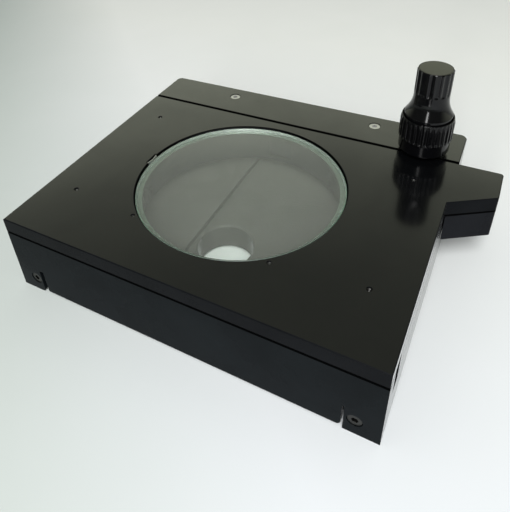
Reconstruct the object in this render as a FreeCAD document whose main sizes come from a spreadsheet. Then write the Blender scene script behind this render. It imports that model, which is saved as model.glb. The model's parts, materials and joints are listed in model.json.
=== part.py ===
import FreeCAD, Part
import math
import os
import Sketcher

# Mechanical microscope stage. A base carries a Y carriage on ball slides, and that
# carries an X plate with a round glass. Two coaxial knobs drive a rack each.
# X runs to the right, Y to the back and Z up. The origin is on the table, midway
# between the left and right sides and midway between the front and the back.

Vector = FreeCAD.Vector
doc = FreeCAD.newDocument("microscope_stage")

SIZES = {
    # Whole stage
    "plate_width": 212.0,
    "plate_depth": 150.95,
    "strip_depth": 31.55,
    "stage_height": 50.5,
    "plate_thick": 9.0,
    "plate_lift": 0.5,
    "seam_gap": 1.4,
    "corner_round": 4.0,
    "edge_break": 0.5,
    "overrun": 2.0,
    "screw_fit": 0.03,
    "push_fit": 0.02,
    "running_fit": 0.05,
    # Travel of the two slides
    "travel_side": 37.5,
    "travel_forward": 8.5,
    "travel_back": 16.5,
    "stop_clearance": 0.3,
    "notch_play": 0.6,
    "washer_play": 0.1,
    "y_pinion_lift": 0.9,
    # Base
    "foot_drop": 1.8,
    "slab_top": 18.0,
    "runner_top": 23.7,
    "runner_width": 16.5,
    "level_gap": 0.5,
    "light_hole_radius": 16.2,
    "light_hole_left": 1.5,
    "light_hole_forward": 30.5,
    "hole_chamfer": 1.0,
    "cable_groove_width": 3.5,
    "cable_groove_depth": 3.0,
    "mount_hole_radius": 2.1,
    "mount_hole_depth": 10.0,
    "mount_hole_spacing": 100.0,
    # Front apron
    "apron_thick": 10.0,
    "slit_height": 17.0,
    "right_slit_inner": 88.0,
    "right_slit_width": 1.0,
    "left_slit_inner": 86.7,
    "left_slit_width": 3.0,
    "panel_round": 2.5,
    "ear_screw_inset": 12.0,
    "ear_screw_height": 9.5,
    # Y slide
    "y_rail_width": 7.0,
    "y_rail_height": 11.2,
    "y_rail_floor": 12.0,
    "y_rail_gap": 1.0,
    "y_ball_radius": 2.0,
    "y_rail_side_play": 1.0,
    "y_rail_end_play": 1.25,
    "y_rail_length": 125.0,
    "y_moving_rail_length": 90.0,
    "y_cage_length": 68.0,
    "y_cage_lead": 9.5,
    # X slide
    "x_rail_width": 4.0,
    "x_rail_height": 9.5,
    "x_rail_gap": 0.8,
    "x_rear_rail_height": 5.6,
    "x_ball_radius": 1.25,
    "x_rail_length": 190.0,
    "x_moving_rail_length": 120.0,
    "x_channel_length": 198.0,
    "x_rail_screw_inset": 1.45,
    "x_rear_rail_end": 70.0,
    "x_cage_length": 76.0,
    "cage_thick": 0.5,
    "cage_margin": 1.2,
    "ball_play": 0.07,
    # Carriage
    "opening_radius": 59.0,
    "opening_front_play": 1.0,
    "channel_floor_thick": 4.0,
    "carrier_lift": 0.5,
    "carrier_play": 0.8,
    "stop_pin_radius": 2.0,
    "stop_pin_inset": 8.0,
    "stop_pin_rise": 4.8,
    "stop_pin_depth": 9.0,
    "stop_slot_depth": 5.6,
    "stop_pin_back": 30.0,
    # Rear strip
    "strip_screw_offset": 51.0,
    "strip_screw_inset": 10.9,
    # Top plate, its wing and the glass
    "wing_reach": 23.7,
    "wing_root": 38.75,
    "wing_end": 23.85,
    "wing_round": 1.5,
    "wing_block_gap": 0.5,
    "glass_radius": 60.0,
    "glass_thick": 5.0,
    "glass_sink": 0.5,
    "glass_play": 0.35,
    "glass_ledge": 3.5,
    "glass_left": 1.4,
    "glass_forward": 9.8,
    "clip_hole_radius": 1.5,
    "clip_hole_depth": 7.0,
    "clip_hole_side": 86.0,
    "clip_hole_pitch": 87.5,
    "small_hole_radius": 1.25,
    "small_hole_depth": 6.0,
    "small_hole_side": 40.4,
    "small_hole_forward": 48.4,
    "spring_length": 9.6,
    "spring_thick": 0.5,
    "spring_height": 4.0,
    "spring_pocket": 2.0,
    "spring_bow": 0.9,
    # Rack carrier
    "carrier_width": 9.15,
    "carrier_seam_gap": 0.35,
    "carrier_left_end": 60.0,
    "carrier_groove_end": 100.0,
    # Racks and pinions
    "gear_module": 1.0,
    "rack_addendum": 0.9,
    "tooth_play": 0.16,
    "pinion_height": 5.5,
    "y_pinion_height": 7.0,
    "rack_thick": 4.9,
    "x_rack_height": 6.0,
    "x_rack_left": 44.5,
    "x_rack_length": 89.0,
    "x_rack_floor_gap": 0.2,
    "y_rack_thick": 7.0,
    "y_rack_height": 8.0,
    "y_rack_length": 42.0,
    "y_rack_lead": 17.5,
    "pinion_side_play": 0.6,
    # Knobs and shafts
    "knob_side": 84.0,
    "shaft_radius": 2.5,
    "sleeve_radius": 3.6,
    "bush_radius": 4.6,
    "bush_flange_radius": 5.3,
    "bush_flange_height": 1.2,
    "shaft_bush_radius": 4.5,
    "knob_lift": 2.3,
    "low_knob_radius": 15.1,
    "low_knob_collar_radius": 14.5,
    "low_knob_collar_height": 8.0,
    "low_knob_height": 22.4,
    "low_knob_lip": 1.1,
    "low_knob_bevel": 2.6,
    "low_knob_cup": 9.0,
    "low_knob_ease": 1.0,
    "low_flute_radius": 1.2,
    "low_flute_depth": 0.65,
    "top_knob_radius": 9.8,
    "top_knob_height": 54.2,
    "top_knob_fluted": 14.6,
    "top_knob_neck": 1.6,
    "top_knob_flare_height": 5.4,
    "top_knob_flare_run": 6.0,
    "top_knob_flare_round": 20.0,
    "top_knob_skirt_ease": 1.0,
    "top_knob_bevel": 0.6,
    "top_knob_skirt_radius": 13.4,
    "top_knob_skirt_rise": 20.0,
    "top_flute_radius": 2.4,
    "top_flute_depth": 0.55,
    "cap_radius": 8.9,
    "cap_thick": 1.6,
    "cap_proud": 0.5,
    "retainer_radius": 4.6,
    "retainer_thick": 0.8,
    "retainer_groove": 0.6,
    "set_screw_radius": 1.5,
    "set_screw_length": 5.0,
    "set_screw_height": 4.2,
    # Screws: shank radius, head radius, head height and socket
    "big_shank": 2.0,
    "big_head": 3.4,
    "big_head_height": 4.0,
    "big_socket": 1.7,
    "small_shank": 1.25,
    "small_head": 1.95,
    "small_head_height": 2.0,
    "small_socket": 1.1,
    "tiny_shank": 0.8,
    "tiny_head": 1.3,
    "tiny_head_height": 1.4,
    "tiny_socket": 0.7,
    "head_play": 0.3,
    "head_sink": 0.4,
}

PINION_TEETH = 16
PRESSURE_ANGLE = math.radians(20)
LOW_FLUTES = 32
TOP_FLUTES = 16
DEDENDUM_SHARE = 1.15
RACK_ROOT_MODULES = 2
Y_BALLS = 5
X_BALLS = 5


def formula_of(term):
    """The sheet formula of a size, or a bare share as text."""
    return term.formula if isinstance(term, Size) else str(term)


def value_of(term):
    """The number behind a size or a bare share."""
    return term.value if isinstance(term, Size) else term


class Size:
    """A length that knows its value and the sheet formula that gives it."""

    def __init__(self, value, formula):
        self.value = value
        self.formula = formula

    def __add__(self, other):
        return Size(self.value + value_of(other), f"({self.formula} + {formula_of(other)})")

    def __sub__(self, other):
        return Size(self.value - value_of(other), f"({self.formula} - {formula_of(other)})")

    def __mul__(self, share):
        return Size(self.value * value_of(share), f"({self.formula} * {formula_of(share)})")

    def __truediv__(self, share):
        return Size(self.value / value_of(share), f"({self.formula} / {formula_of(share)})")

    def __neg__(self):
        return Size(-self.value, f"(0 - {self.formula})")


def make_sheet():
    """Writes every driving size into the sheet and returns them as Size values."""
    sheet = doc.addObject("Spreadsheet::Sheet", "Sizes")
    sizes = {}
    for row, (alias, number) in enumerate(SIZES.items(), start=1):
        sheet.set(f"A{row}", alias)
        sheet.set(f"B{row}", str(number))
        sheet.setAlias(f"B{row}", alias)
        sizes[alias] = Size(number, f"Sizes.{alias}")
    doc.recompute()
    return sizes


S = make_sheet()


def bind(thing, prop, size):
    """Ties a property to the sheet, or leaves it at its default where the size is zero."""
    if isinstance(size, Size):
        thing.setExpression(prop, size.formula)


def place(thing, x, y, z):
    """Ties the base point of a thing's placement to sizes."""
    for axis, size in zip("xyz", (x, y, z)):
        bind(thing, f"Placement.Base.{axis}", size)
    return thing


class Outline:
    """A closed outline of straight lines whose corners are tied to sizes."""

    def __init__(self, *corners):
        self.corners = corners

    def draw(self, sketch):
        first = sketch.GeometryCount
        count = len(self.corners)
        spots = [Vector(value_of(u), value_of(v), 0) for u, v in self.corners]
        for i in range(count):
            sketch.addGeometry(Part.LineSegment(spots[i], spots[(i + 1) % count]), False)
        for i in range(count):
            follower = first + (i + 1) % count
            sketch.addConstraint(Sketcher.Constraint("Coincident", first + i, 2, follower, 1))
        for i, corner in enumerate(self.corners):
            pin_point(sketch, first + i, 1, corner)


class Disc:
    """A circle whose centre and radius are tied to sizes."""

    def __init__(self, centre, radius):
        self.centre = centre
        self.radius = radius

    def draw(self, sketch):
        index = sketch.GeometryCount
        spot = Vector(value_of(self.centre[0]), value_of(self.centre[1]), 0)
        sketch.addGeometry(Part.Circle(spot, Vector(0, 0, 1), self.radius.value), False)
        pin_radius(sketch, index, self.radius)
        pin_point(sketch, index, 3, self.centre)


class FlatDisc:
    """A circle cut off straight along its lower side, at a given height."""

    def __init__(self, centre, radius, flat):
        self.centre = centre
        self.radius = radius
        self.flat = flat

    def draw(self, sketch):
        index = sketch.GeometryCount
        u, v = value_of(self.centre[0]), value_of(self.centre[1])
        drop = self.flat.value - v
        reach = math.sqrt(self.radius.value**2 - drop**2)
        start = math.atan2(drop, reach)
        circle = Part.Circle(Vector(u, v, 0), Vector(0, 0, 1), self.radius.value)
        sketch.addGeometry(Part.ArcOfCircle(circle, start, math.pi - start), False)
        ends = Vector(u - reach, self.flat.value, 0), Vector(u + reach, self.flat.value, 0)
        sketch.addGeometry(Part.LineSegment(*ends), False)
        sketch.addConstraint(Sketcher.Constraint("Coincident", index, 2, index + 1, 1))
        sketch.addConstraint(Sketcher.Constraint("Coincident", index + 1, 2, index, 1))
        sketch.addConstraint(Sketcher.Constraint("Horizontal", index + 1))
        pin_radius(sketch, index, self.radius)
        pin_point(sketch, index, 3, self.centre)
        tie_distance(sketch, "DistanceY", index + 1, 1, self.flat)


def tie_distance(sketch, kind, geometry, point, size):
    """Adds one distance from the sketch's origin and ties it to a size."""
    number = value_of(size)
    index = sketch.addConstraint(Sketcher.Constraint(kind, -1, 1, geometry, point, number))
    if isinstance(size, Size):
        sketch.setExpression(f"Constraints[{index}]", size.formula)


def pin_point(sketch, geometry, point, spot):
    """Ties a point of a sketch to two sizes."""
    tie_distance(sketch, "DistanceX", geometry, point, spot[0])
    tie_distance(sketch, "DistanceY", geometry, point, spot[1])


def pin_radius(sketch, geometry, radius):
    """Ties the radius of a circle or an arc to a size."""
    index = sketch.addConstraint(Sketcher.Constraint("Radius", geometry, radius.value))
    sketch.setExpression(f"Constraints[{index}]", radius.formula)


class Piece:
    """A machined piece: pads that add to it and pockets that cut it.

    Sketches on "XY" read (x, y), on "XZ" (x, z) and on "YZ" (y, z).
    """

    def __init__(self, label):
        self.body = doc.addObject("PartDesign::Body", label)
        self.body.Label = label

    def plane(self, name):
        role = f"{name}_Plane"
        return next(item for item in self.body.Origin.OriginFeatures if item.Role == role)

    def sketch(self, plane, level, loops):
        sketch = self.body.newObject("Sketcher::SketchObject", f"{self.body.Name}_sketch")
        sketch.AttachmentSupport = [(self.plane(plane), "")]
        sketch.MapMode = "FlatFace"
        bind(sketch, "AttachmentOffset.Base.z", level)
        for loop in loops:
            loop.draw(sketch)
        return sketch

    def feature(self, kind, name, sketch, length):
        feature = self.body.newObject(f"PartDesign::{kind}", f"{self.body.Name}_{name}")
        feature.Profile = sketch
        bind(feature, "Length", length)
        self.body.Tip = feature
        doc.recompute()
        return feature

    def pad(self, plane, low, high, *loops):
        """Fills the loops between two levels along the plane's own axis."""
        level = -high if plane == "XZ" else low
        return self.feature("Pad", "pad", self.sketch(plane, level, loops), high - low)

    def pocket(self, plane, low, high, *loops):
        """Clears the loops between two levels, and makes sure that it cut something."""
        before = self.body.Shape.Volume
        level = -low if plane == "XZ" else high
        pocket = self.feature("Pocket", "pocket", self.sketch(plane, level, loops), high - low)
        if not self.body.Shape.Volume < before:
            raise RuntimeError(f"a pocket of {self.body.Label} cut nothing")
        return pocket

    def edges(self, test):
        names = [
            f"Edge{i}" for i, edge in enumerate(self.body.Shape.Edges, start=1) if test(edge)
        ]
        if not names:
            raise RuntimeError(f"no edge of {self.body.Label} passes the test")
        return names

    def dress(self, kind, prop, size, test):
        base = self.body.Tip
        names = self.edges(test)
        feature = self.body.newObject(f"PartDesign::{kind}", f"{self.body.Name}_{kind}")
        feature.Base = (base, names)
        bind(feature, prop, size)
        self.body.Tip = feature
        doc.recompute()

    def fillet(self, radius, test):
        self.dress("Fillet", "Radius", radius, test)

    def chamfer(self, size, test):
        self.dress("Chamfer", "Size", size, test)


def rectangle(u, v):
    """An outline from its two spans."""
    return Outline((u[0], v[0]), (u[1], v[0]), (u[1], v[1]), (u[0], v[1]))


TOUCH = 1e-4


def near(a, b):
    """True where two numbers agree to within a tenth of a micron."""
    return abs(a - b) < TOUCH


def upright_at(*spots):
    """A test for straight upright edges that stand at one of the given spots."""
    wanted = [(value_of(x), value_of(y)) for x, y in spots]

    def test(edge):
        box = edge.BoundBox
        if not (near(box.XLength, 0) and near(box.YLength, 0)):
            return False
        return any(near(box.XMin, x) and near(box.YMin, y) for x, y in wanted)

    return test


def level_edges(z):
    """A test for edges that lie wholly at one height."""
    height = value_of(z)

    def test(edge):
        box = edge.BoundBox
        return near(box.ZMin, height) and near(box.ZMax, height)

    return test


def turned(thing, axis, degrees):
    """Turns a thing about an axis through its own origin."""
    thing.Placement = FreeCAD.Placement(Vector(0, 0, 0), FreeCAD.Rotation(axis, degrees))
    return thing


def post(name, spot, radius, low, high):
    """An upright cylinder."""
    cylinder = doc.addObject("Part::Cylinder", name)
    bind(cylinder, "Radius", radius)
    bind(cylinder, "Height", high - low)
    return place(cylinder, spot[0], spot[1], low)


def tube(name, spot, outer, inner, low, high):
    """An upright tube."""
    wall = post(f"{name}_wall", spot, outer, low, high)
    bore = post(f"{name}_bore", spot, inner, low - S["overrun"], high + S["overrun"])
    return cut(name, wall, bore)


def cut(name, base, *tools):
    """One thing less one or more others."""
    result = doc.addObject("Part::Cut", name)
    result.Base = base
    result.Tool = tools[0] if len(tools) == 1 else join(f"{name}_tools", *tools)
    return result


def join(name, *shapes):
    """Several things fused into one."""
    result = doc.addObject("Part::MultiFuse", name)
    result.Shapes = list(shapes)
    return result


def group(name, members):
    """Several like pieces kept as separate solids under one name."""
    result = doc.addObject("Part::Compound", name)
    result.Links = members
    return result


# Main levels, from the table up
SLAB_BOTTOM = S["foot_drop"]
CARRIAGE_BOTTOM = S["runner_top"] + S["level_gap"]
PLATE_TOP = S["stage_height"]
PLATE_BOTTOM = PLATE_TOP - S["plate_thick"]
CARRIAGE_TOP = PLATE_BOTTOM - S["plate_lift"]
X_CHANNEL_FLOOR = CARRIAGE_TOP - S["x_rail_height"] - S["plate_lift"]
CARRIER_BOTTOM = CARRIAGE_BOTTOM + S["channel_floor_thick"] + S["carrier_lift"]
REAR_CHANNEL_FLOOR = CARRIAGE_BOTTOM + S["channel_floor_thick"]

# Main lines from left to right
RIGHT = S["plate_width"] / 2
LEFT = -RIGHT
RUNNER_FACE = RIGHT - S["runner_width"]
WING_RIGHT = RIGHT + S["wing_reach"]
HOLE_X = -S["light_hole_left"]
GLASS_X = -S["glass_left"]

# Main lines from front to back
BACK = (S["plate_depth"] + S["strip_depth"]) / 2
FRONT = -BACK
SEAM = FRONT + S["plate_depth"]
PLATE_BACK = SEAM - S["seam_gap"] / 2
STRIP_FRONT = SEAM + S["seam_gap"] / 2
APRON_BACK = FRONT + S["apron_thick"]
CARRIAGE_FRONT = APRON_BACK + S["travel_forward"] + S["stop_clearance"]
HOLE_Y = -S["light_hole_forward"]
GLASS_Y = -S["glass_forward"]

# Y slide: the fixed rail stands against the runner, the moving rail one gap inside it
Y_FIXED_FACE = RUNNER_FACE - S["y_rail_width"]
Y_MOVING_FACE = Y_FIXED_FACE - S["y_rail_gap"]
Y_MOVING_INNER = Y_MOVING_FACE - S["y_rail_width"]
Y_CHANNEL_SIDE = Y_MOVING_INNER - S["y_rail_side_play"]
Y_BALL_Z = (S["y_rail_floor"] + CARRIAGE_BOTTOM) / 2
Y_RAIL_FRONT = APRON_BACK + S["y_rail_end_play"]
Y_RAIL_BACK = Y_RAIL_FRONT + S["y_rail_length"]
Y_MOVING_FRONT = CARRIAGE_FRONT + S["y_rail_end_play"] / 2
Y_MOVING_BACK = Y_MOVING_FRONT + S["y_moving_rail_length"]
Y_CHANNEL_BACK = Y_RAIL_BACK + S["y_rail_end_play"]

# X slide in front: fixed rail, gap, moving rail
X_FIXED_FACE = CARRIAGE_FRONT + S["x_rail_width"]
X_MOVING_FACE = X_FIXED_FACE + S["x_rail_gap"]
X_MOVING_INNER = X_MOVING_FACE + S["x_rail_width"]
X_CHANNEL_SIDE = X_MOVING_INNER + S["opening_front_play"]
X_BALL_Z = (X_CHANNEL_FLOOR + PLATE_BOTTOM) / 2

# X slide behind: the rack carrier under the plate and the fixed rail under the strip
CARRIER_BACK = PLATE_BACK - S["carrier_seam_gap"]
CARRIER_FRONT = CARRIER_BACK - S["carrier_width"]
REAR_RAIL_FACE = CARRIER_BACK + S["x_rail_gap"]
REAR_RAIL_BACK = REAR_RAIL_FACE + S["x_rail_width"]
REAR_BALL_Z = CARRIAGE_TOP - S["x_rear_rail_height"] / 2
REAR_CHANNEL_FRONT = CARRIER_FRONT - S["carrier_play"]
REAR_RAIL_BOTTOM = CARRIAGE_TOP - S["x_rear_rail_height"]

# Drive: the pitch circle rolls on the pitch line of each rack
PITCH_RADIUS = S["gear_module"] * (PINION_TEETH / 2)
TIP_RADIUS = PITCH_RADIUS + S["gear_module"]
ADDENDUM = S["gear_module"] * S["rack_addendum"]
KNOB_X = S["knob_side"]
KNOB_Y = CARRIER_BACK - ADDENDUM + PITCH_RADIUS
KNOB = (KNOB_X, KNOB_Y)
X_RACK_BOTTOM = CARRIER_BOTTOM + S["x_rack_floor_gap"]
X_RACK_TOP = X_RACK_BOTTOM + S["x_rack_height"]
X_PINION_BOTTOM = X_RACK_BOTTOM + S["x_rack_floor_gap"]
X_PINION_TOP = X_PINION_BOTTOM + S["pinion_height"]
X_RACK_LEFT = KNOB_X - S["x_rack_left"]
Y_RACK_TIP = KNOB_X - PITCH_RADIUS + ADDENDUM
Y_RACK_FRONT = KNOB_Y - S["y_rack_lead"]
Y_RACK_TOP = S["y_rail_floor"] + S["y_rack_height"]
Y_PINION_BOTTOM = S["y_rail_floor"] + S["y_pinion_lift"]
Y_PINION_TOP = Y_PINION_BOTTOM + S["y_pinion_height"]
PINION_BORE = TIP_RADIUS + S["pinion_side_play"]

# Light opening of the carriage and the notch that the wing block runs into
OPENING_FLAT = X_CHANNEL_SIDE
WING_BLOCK_LEFT = RIGHT + S["wing_block_gap"]
NOTCH_LEFT = WING_BLOCK_LEFT - S["travel_side"] - S["notch_play"]
WING_ROOT_Y = SEAM - S["wing_root"]
WING_END_Y = SEAM - S["wing_end"]
NOTCH_FRONT = WING_ROOT_Y - S["notch_play"]


def groove_depth(ball_radius, gap):
    """Depth of a square groove that holds a ball standing half in the gap, with ball play."""
    return ball_radius * math.sqrt(2) - gap / 2 + S["ball_play"]


Y_GROOVE = groove_depth(S["y_ball_radius"], S["y_rail_gap"])
X_GROOVE = groove_depth(S["x_ball_radius"], S["x_rail_gap"])


class Screw:
    """A socket head screw size: shank, head and socket taken from the sheet."""

    def __init__(self, size):
        self.shank = S[f"{size}_shank"]
        self.head = S[f"{size}_head"]
        self.head_height = S[f"{size}_head_height"]
        self.socket = S[f"{size}_socket"]

    @property
    def hole(self):
        return self.shank + S["screw_fit"]

    @property
    def recess(self):
        return self.head + S["head_play"]

    def solid(self, name, spot, length, turn):
        """One screw with its head end at the spot, pointing down unless turned."""
        head = doc.addObject("Part::Cylinder", f"{name}_head")
        bind(head, "Radius", self.head)
        bind(head, "Height", self.head_height)
        place(head, 0, 0, -self.head_height)
        shank = doc.addObject("Part::Cylinder", f"{name}_shank")
        bind(shank, "Radius", self.shank)
        bind(shank, "Height", length)
        place(shank, 0, 0, -self.head_height - length)
        socket = doc.addObject("Part::Prism", f"{name}_socket")
        socket.Polygon = 6
        bind(socket, "Circumradius", self.socket)
        bind(socket, "Height", self.head_height)
        place(socket, 0, 0, -self.head_height / 2)
        screw = cut(name, join(f"{name}_blank", head, shank), socket)
        if turn:
            turned(screw, *turn)
        return place(screw, *spot)


BIG = Screw("big")
SMALL = Screw("small")
TINY = Screw("tiny")
POINT_UP = (Vector(1, 0, 0), 180)
POINT_BACK = (Vector(1, 0, 0), 90)


def screw_group(name, screw, spots, length, turn=None):
    """A set of like screws in one named group."""
    members = [
        screw.solid(f"{name}_{i}", spot, length, turn) for i, spot in enumerate(spots, start=1)
    ]
    return group(name, members)


def spread(low, high, count, margin_share):
    """Evenly spaced places between two levels, the same share of the span in at each end."""
    span = high - low
    shares = [margin_share + (1 - 2 * margin_share) * i / (count - 1) for i in range(count)]
    return [low + span * share for share in shares]


# Places of the fasteners, each used by the hole and by the screw
END_SHARE = 0.12
CARRIER_SCREW_SHARE = 0.333
LONG_SCREW_SHARE = 0.8
SHORT_SCREW_SHARE = 0.5
SOCKET_SHARE = 0.6
MOVING_SCREW_SHARES = (-0.87, -0.5, 0.5, 0.87)
Y_FIXED_SCREW_X = RUNNER_FACE - (S["y_rail_width"] - Y_GROOVE) / 2
Y_MOVING_SCREW_X = Y_MOVING_INNER + (S["y_rail_width"] - Y_GROOVE) / 2
Y_FIXED_SCREWS = spread(Y_RAIL_FRONT, Y_RAIL_BACK, 3, END_SHARE)
Y_MOVING_SCREWS = spread(Y_MOVING_FRONT, Y_MOVING_BACK, 3, END_SHARE)
X_RAIL_RIGHT = S["x_rail_length"] / 2
X_RAIL_LEFT = -X_RAIL_RIGHT
X_MOVING_RIGHT = S["x_moving_rail_length"] / 2
X_MOVING_LEFT = -X_MOVING_RIGHT
X_FIXED_SCREW_Y = CARRIAGE_FRONT + S["x_rail_screw_inset"]
X_MOVING_SCREW_Y = X_MOVING_INNER - S["x_rail_screw_inset"]
REAR_RAIL_SCREW_Y = REAR_RAIL_BACK - S["x_rail_screw_inset"]
X_FIXED_SCREWS = spread(X_RAIL_LEFT, X_RAIL_RIGHT, 4, END_SHARE)
X_MOVING_SCREWS = [X_MOVING_RIGHT * share for share in MOVING_SCREW_SHARES]
REAR_RAIL_SCREWS = spread(X_RAIL_LEFT, S["x_rear_rail_end"], 3, END_SHARE)
CARRIER_LEFT = -S["carrier_left_end"]
CARRIER_SCREW_Y = CARRIER_FRONT + S["carrier_width"] * CARRIER_SCREW_SHARE
CARRIER_SCREWS = spread(CARRIER_LEFT, X_RACK_LEFT, 3, END_SHARE)
WING_SCREW_X = (WING_BLOCK_LEFT + WING_RIGHT) / 2
WING_SCREWS = spread(WING_END_Y, CARRIER_FRONT, 2, END_SHARE)
X_RACK_RIGHT = X_RACK_LEFT + S["x_rack_length"]
X_RACK_FRONT = CARRIER_BACK - S["rack_thick"]
X_RACK_SCREWS = spread(X_RACK_LEFT, RIGHT, 3, END_SHARE)
X_RACK_SCREW_Y = X_RACK_FRONT + (S["rack_thick"] - S["gear_module"] * RACK_ROOT_MODULES) / 2
Y_RACK_LEFT = Y_RACK_TIP - S["y_rack_thick"]
Y_RACK_BACK = Y_RACK_FRONT + S["y_rack_length"]
Y_RACK_SCREWS = spread(Y_RACK_FRONT, Y_RACK_BACK, 2, END_SHARE)
Y_RACK_SCREW_X = Y_RACK_LEFT + (S["y_rack_thick"] - S["gear_module"] * RACK_ROOT_MODULES) / 2
STRIP_SCREW_Y = BACK - S["strip_screw_inset"]
STRIP_SCREWS = [-S["strip_screw_offset"], S["strip_screw_offset"]]
EAR_SCREW_X = RIGHT - S["ear_screw_inset"]
STOP_PIN = (LEFT + S["stop_pin_inset"], S["stop_pin_back"])
SCREW_LENGTH = S["mount_hole_depth"] * LONG_SCREW_SHARE
SHORT_LENGTH = S["mount_hole_depth"] * SHORT_SCREW_SHARE


def make_base_plate():
    """The slab with its two runners, the light hole, the cable groove and the rail channels."""
    piece = Piece("base_plate")
    over = S["overrun"]
    inner = (-RUNNER_FACE, RUNNER_FACE)
    piece.pad("XY", 0, S["runner_top"],
              rectangle((LEFT, RIGHT), (APRON_BACK, BACK)))
    piece.fillet(S["corner_round"], upright_at((LEFT, BACK), (RIGHT, BACK)))
    piece.pocket("XY", -over, SLAB_BOTTOM, rectangle(inner, (APRON_BACK - over, BACK + over)))
    piece.pocket("XY", S["slab_top"], S["runner_top"] + over,
                 rectangle(inner, (APRON_BACK - over, BACK + over)))
    channels = [
        rectangle(side, (APRON_BACK - over, Y_CHANNEL_BACK))
        for side in ((-RUNNER_FACE, -Y_CHANNEL_SIDE), (Y_CHANNEL_SIDE, RUNNER_FACE))
    ]
    piece.pocket("XY", S["y_rail_floor"], S["slab_top"] + over, *channels)
    rack_bay = rectangle((Y_RACK_LEFT, KNOB_X + PINION_BORE), (Y_CHANNEL_BACK, BACK + over))
    piece.pocket("XY", S["y_rail_floor"], S["runner_top"] + over, rack_bay)
    piece.pocket("XY", SLAB_BOTTOM - over, S["slab_top"] + over,
                 Disc((HOLE_X, HOLE_Y), S["light_hole_radius"]))
    piece.chamfer(S["hole_chamfer"], hole_rim(S["slab_top"], S["light_hole_radius"]))
    groove_right = HOLE_X - S["light_hole_radius"]
    groove = rectangle((groove_right - S["cable_groove_width"], groove_right),
                       (APRON_BACK - over, BACK + over))
    piece.pocket("XY", S["slab_top"] - S["cable_groove_depth"], S["slab_top"] + over, groove)
    half = S["mount_hole_spacing"] / 2
    mounts = [Disc((x, y), S["mount_hole_radius"]) for x in (-half, half) for y in (-half, half)]
    piece.pocket("XY", SLAB_BOTTOM - over, SLAB_BOTTOM + S["mount_hole_depth"], *mounts)
    ears = [Disc((x, S["ear_screw_height"]), BIG.hole) for x in (-EAR_SCREW_X, EAR_SCREW_X)]
    piece.pocket("XZ", APRON_BACK - over, APRON_BACK + SCREW_LENGTH + over, *ears)
    rails = [Disc((x, y), SMALL.hole) for x in (-Y_FIXED_SCREW_X, Y_FIXED_SCREW_X)
             for y in Y_FIXED_SCREWS]
    rack = [Disc((Y_RACK_SCREW_X, y), SMALL.hole) for y in Y_RACK_SCREWS]
    piece.pocket("XY", S["y_rail_floor"] - SHORT_LENGTH, S["slab_top"] + over, *rails, *rack)
    pin = Disc(STOP_PIN, S["stop_pin_radius"] + S["push_fit"])
    piece.pocket("XY", S["runner_top"] - S["stop_pin_depth"], S["runner_top"] + over, pin)


def hole_rim(z, radius):
    """A test for the round edge of one radius at one height."""
    height = value_of(z)

    def test(edge):
        box = edge.BoundBox
        level = near(box.ZMin, height) and near(box.ZMax, height)
        return level and isinstance(edge.Curve, Part.Circle) and near(edge.Curve.Radius, radius.value)

    return test


def make_front_apron():
    """The front wall, with a relief slit beside each of the two ears that hold it."""
    piece = Piece("front_apron")
    over = S["overrun"]
    left_in, right_in = -S["left_slit_inner"], S["right_slit_inner"]
    left_out = left_in - S["left_slit_width"]
    right_out = right_in + S["right_slit_width"]
    piece.pad("XZ", FRONT, APRON_BACK, Outline(
        (LEFT, 0), (left_out, 0), (left_out, S["slit_height"]),
        (left_in, S["slit_height"]), (left_in, SLAB_BOTTOM), (right_in, SLAB_BOTTOM),
        (right_in, S["slit_height"]), (right_out, S["slit_height"]), (right_out, 0),
        (RIGHT, 0), (RIGHT, CARRIAGE_TOP), (LEFT, CARRIAGE_TOP)))
    piece.fillet(S["panel_round"], across_at((right_in, SLAB_BOTTOM), (left_out, 0)))
    for x in (-EAR_SCREW_X, EAR_SCREW_X):
        spot = (x, S["ear_screw_height"])
        piece.pocket("XZ", FRONT - over, APRON_BACK + over, Disc(spot, BIG.hole))
        piece.pocket("XZ", FRONT - over, FRONT + BIG.head_height + S["head_sink"],
                     Disc(spot, BIG.recess))


def across_at(*spots):
    """A test for straight edges along Y that lie at one of the given places in x and z."""
    wanted = [(value_of(x), value_of(z)) for x, z in spots]

    def test(edge):
        box = edge.BoundBox
        if not (near(box.XLength, 0) and near(box.ZLength, 0)):
            return False
        return any(near(box.XMin, x) and near(box.ZMin, z) for x, z in wanted)

    return test


def y_rail_profile(outer, face, low, high):
    """The section of a Y rail: a bar with a square groove in its face."""
    step = -Y_GROOVE if value_of(outer) < value_of(face) else Y_GROOVE
    return Outline(
        (outer, low), (face, low), (face, Y_BALL_Z - Y_GROOVE), (face + step, Y_BALL_Z),
        (face, Y_BALL_Z + Y_GROOVE), (face, high), (outer, high))


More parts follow.
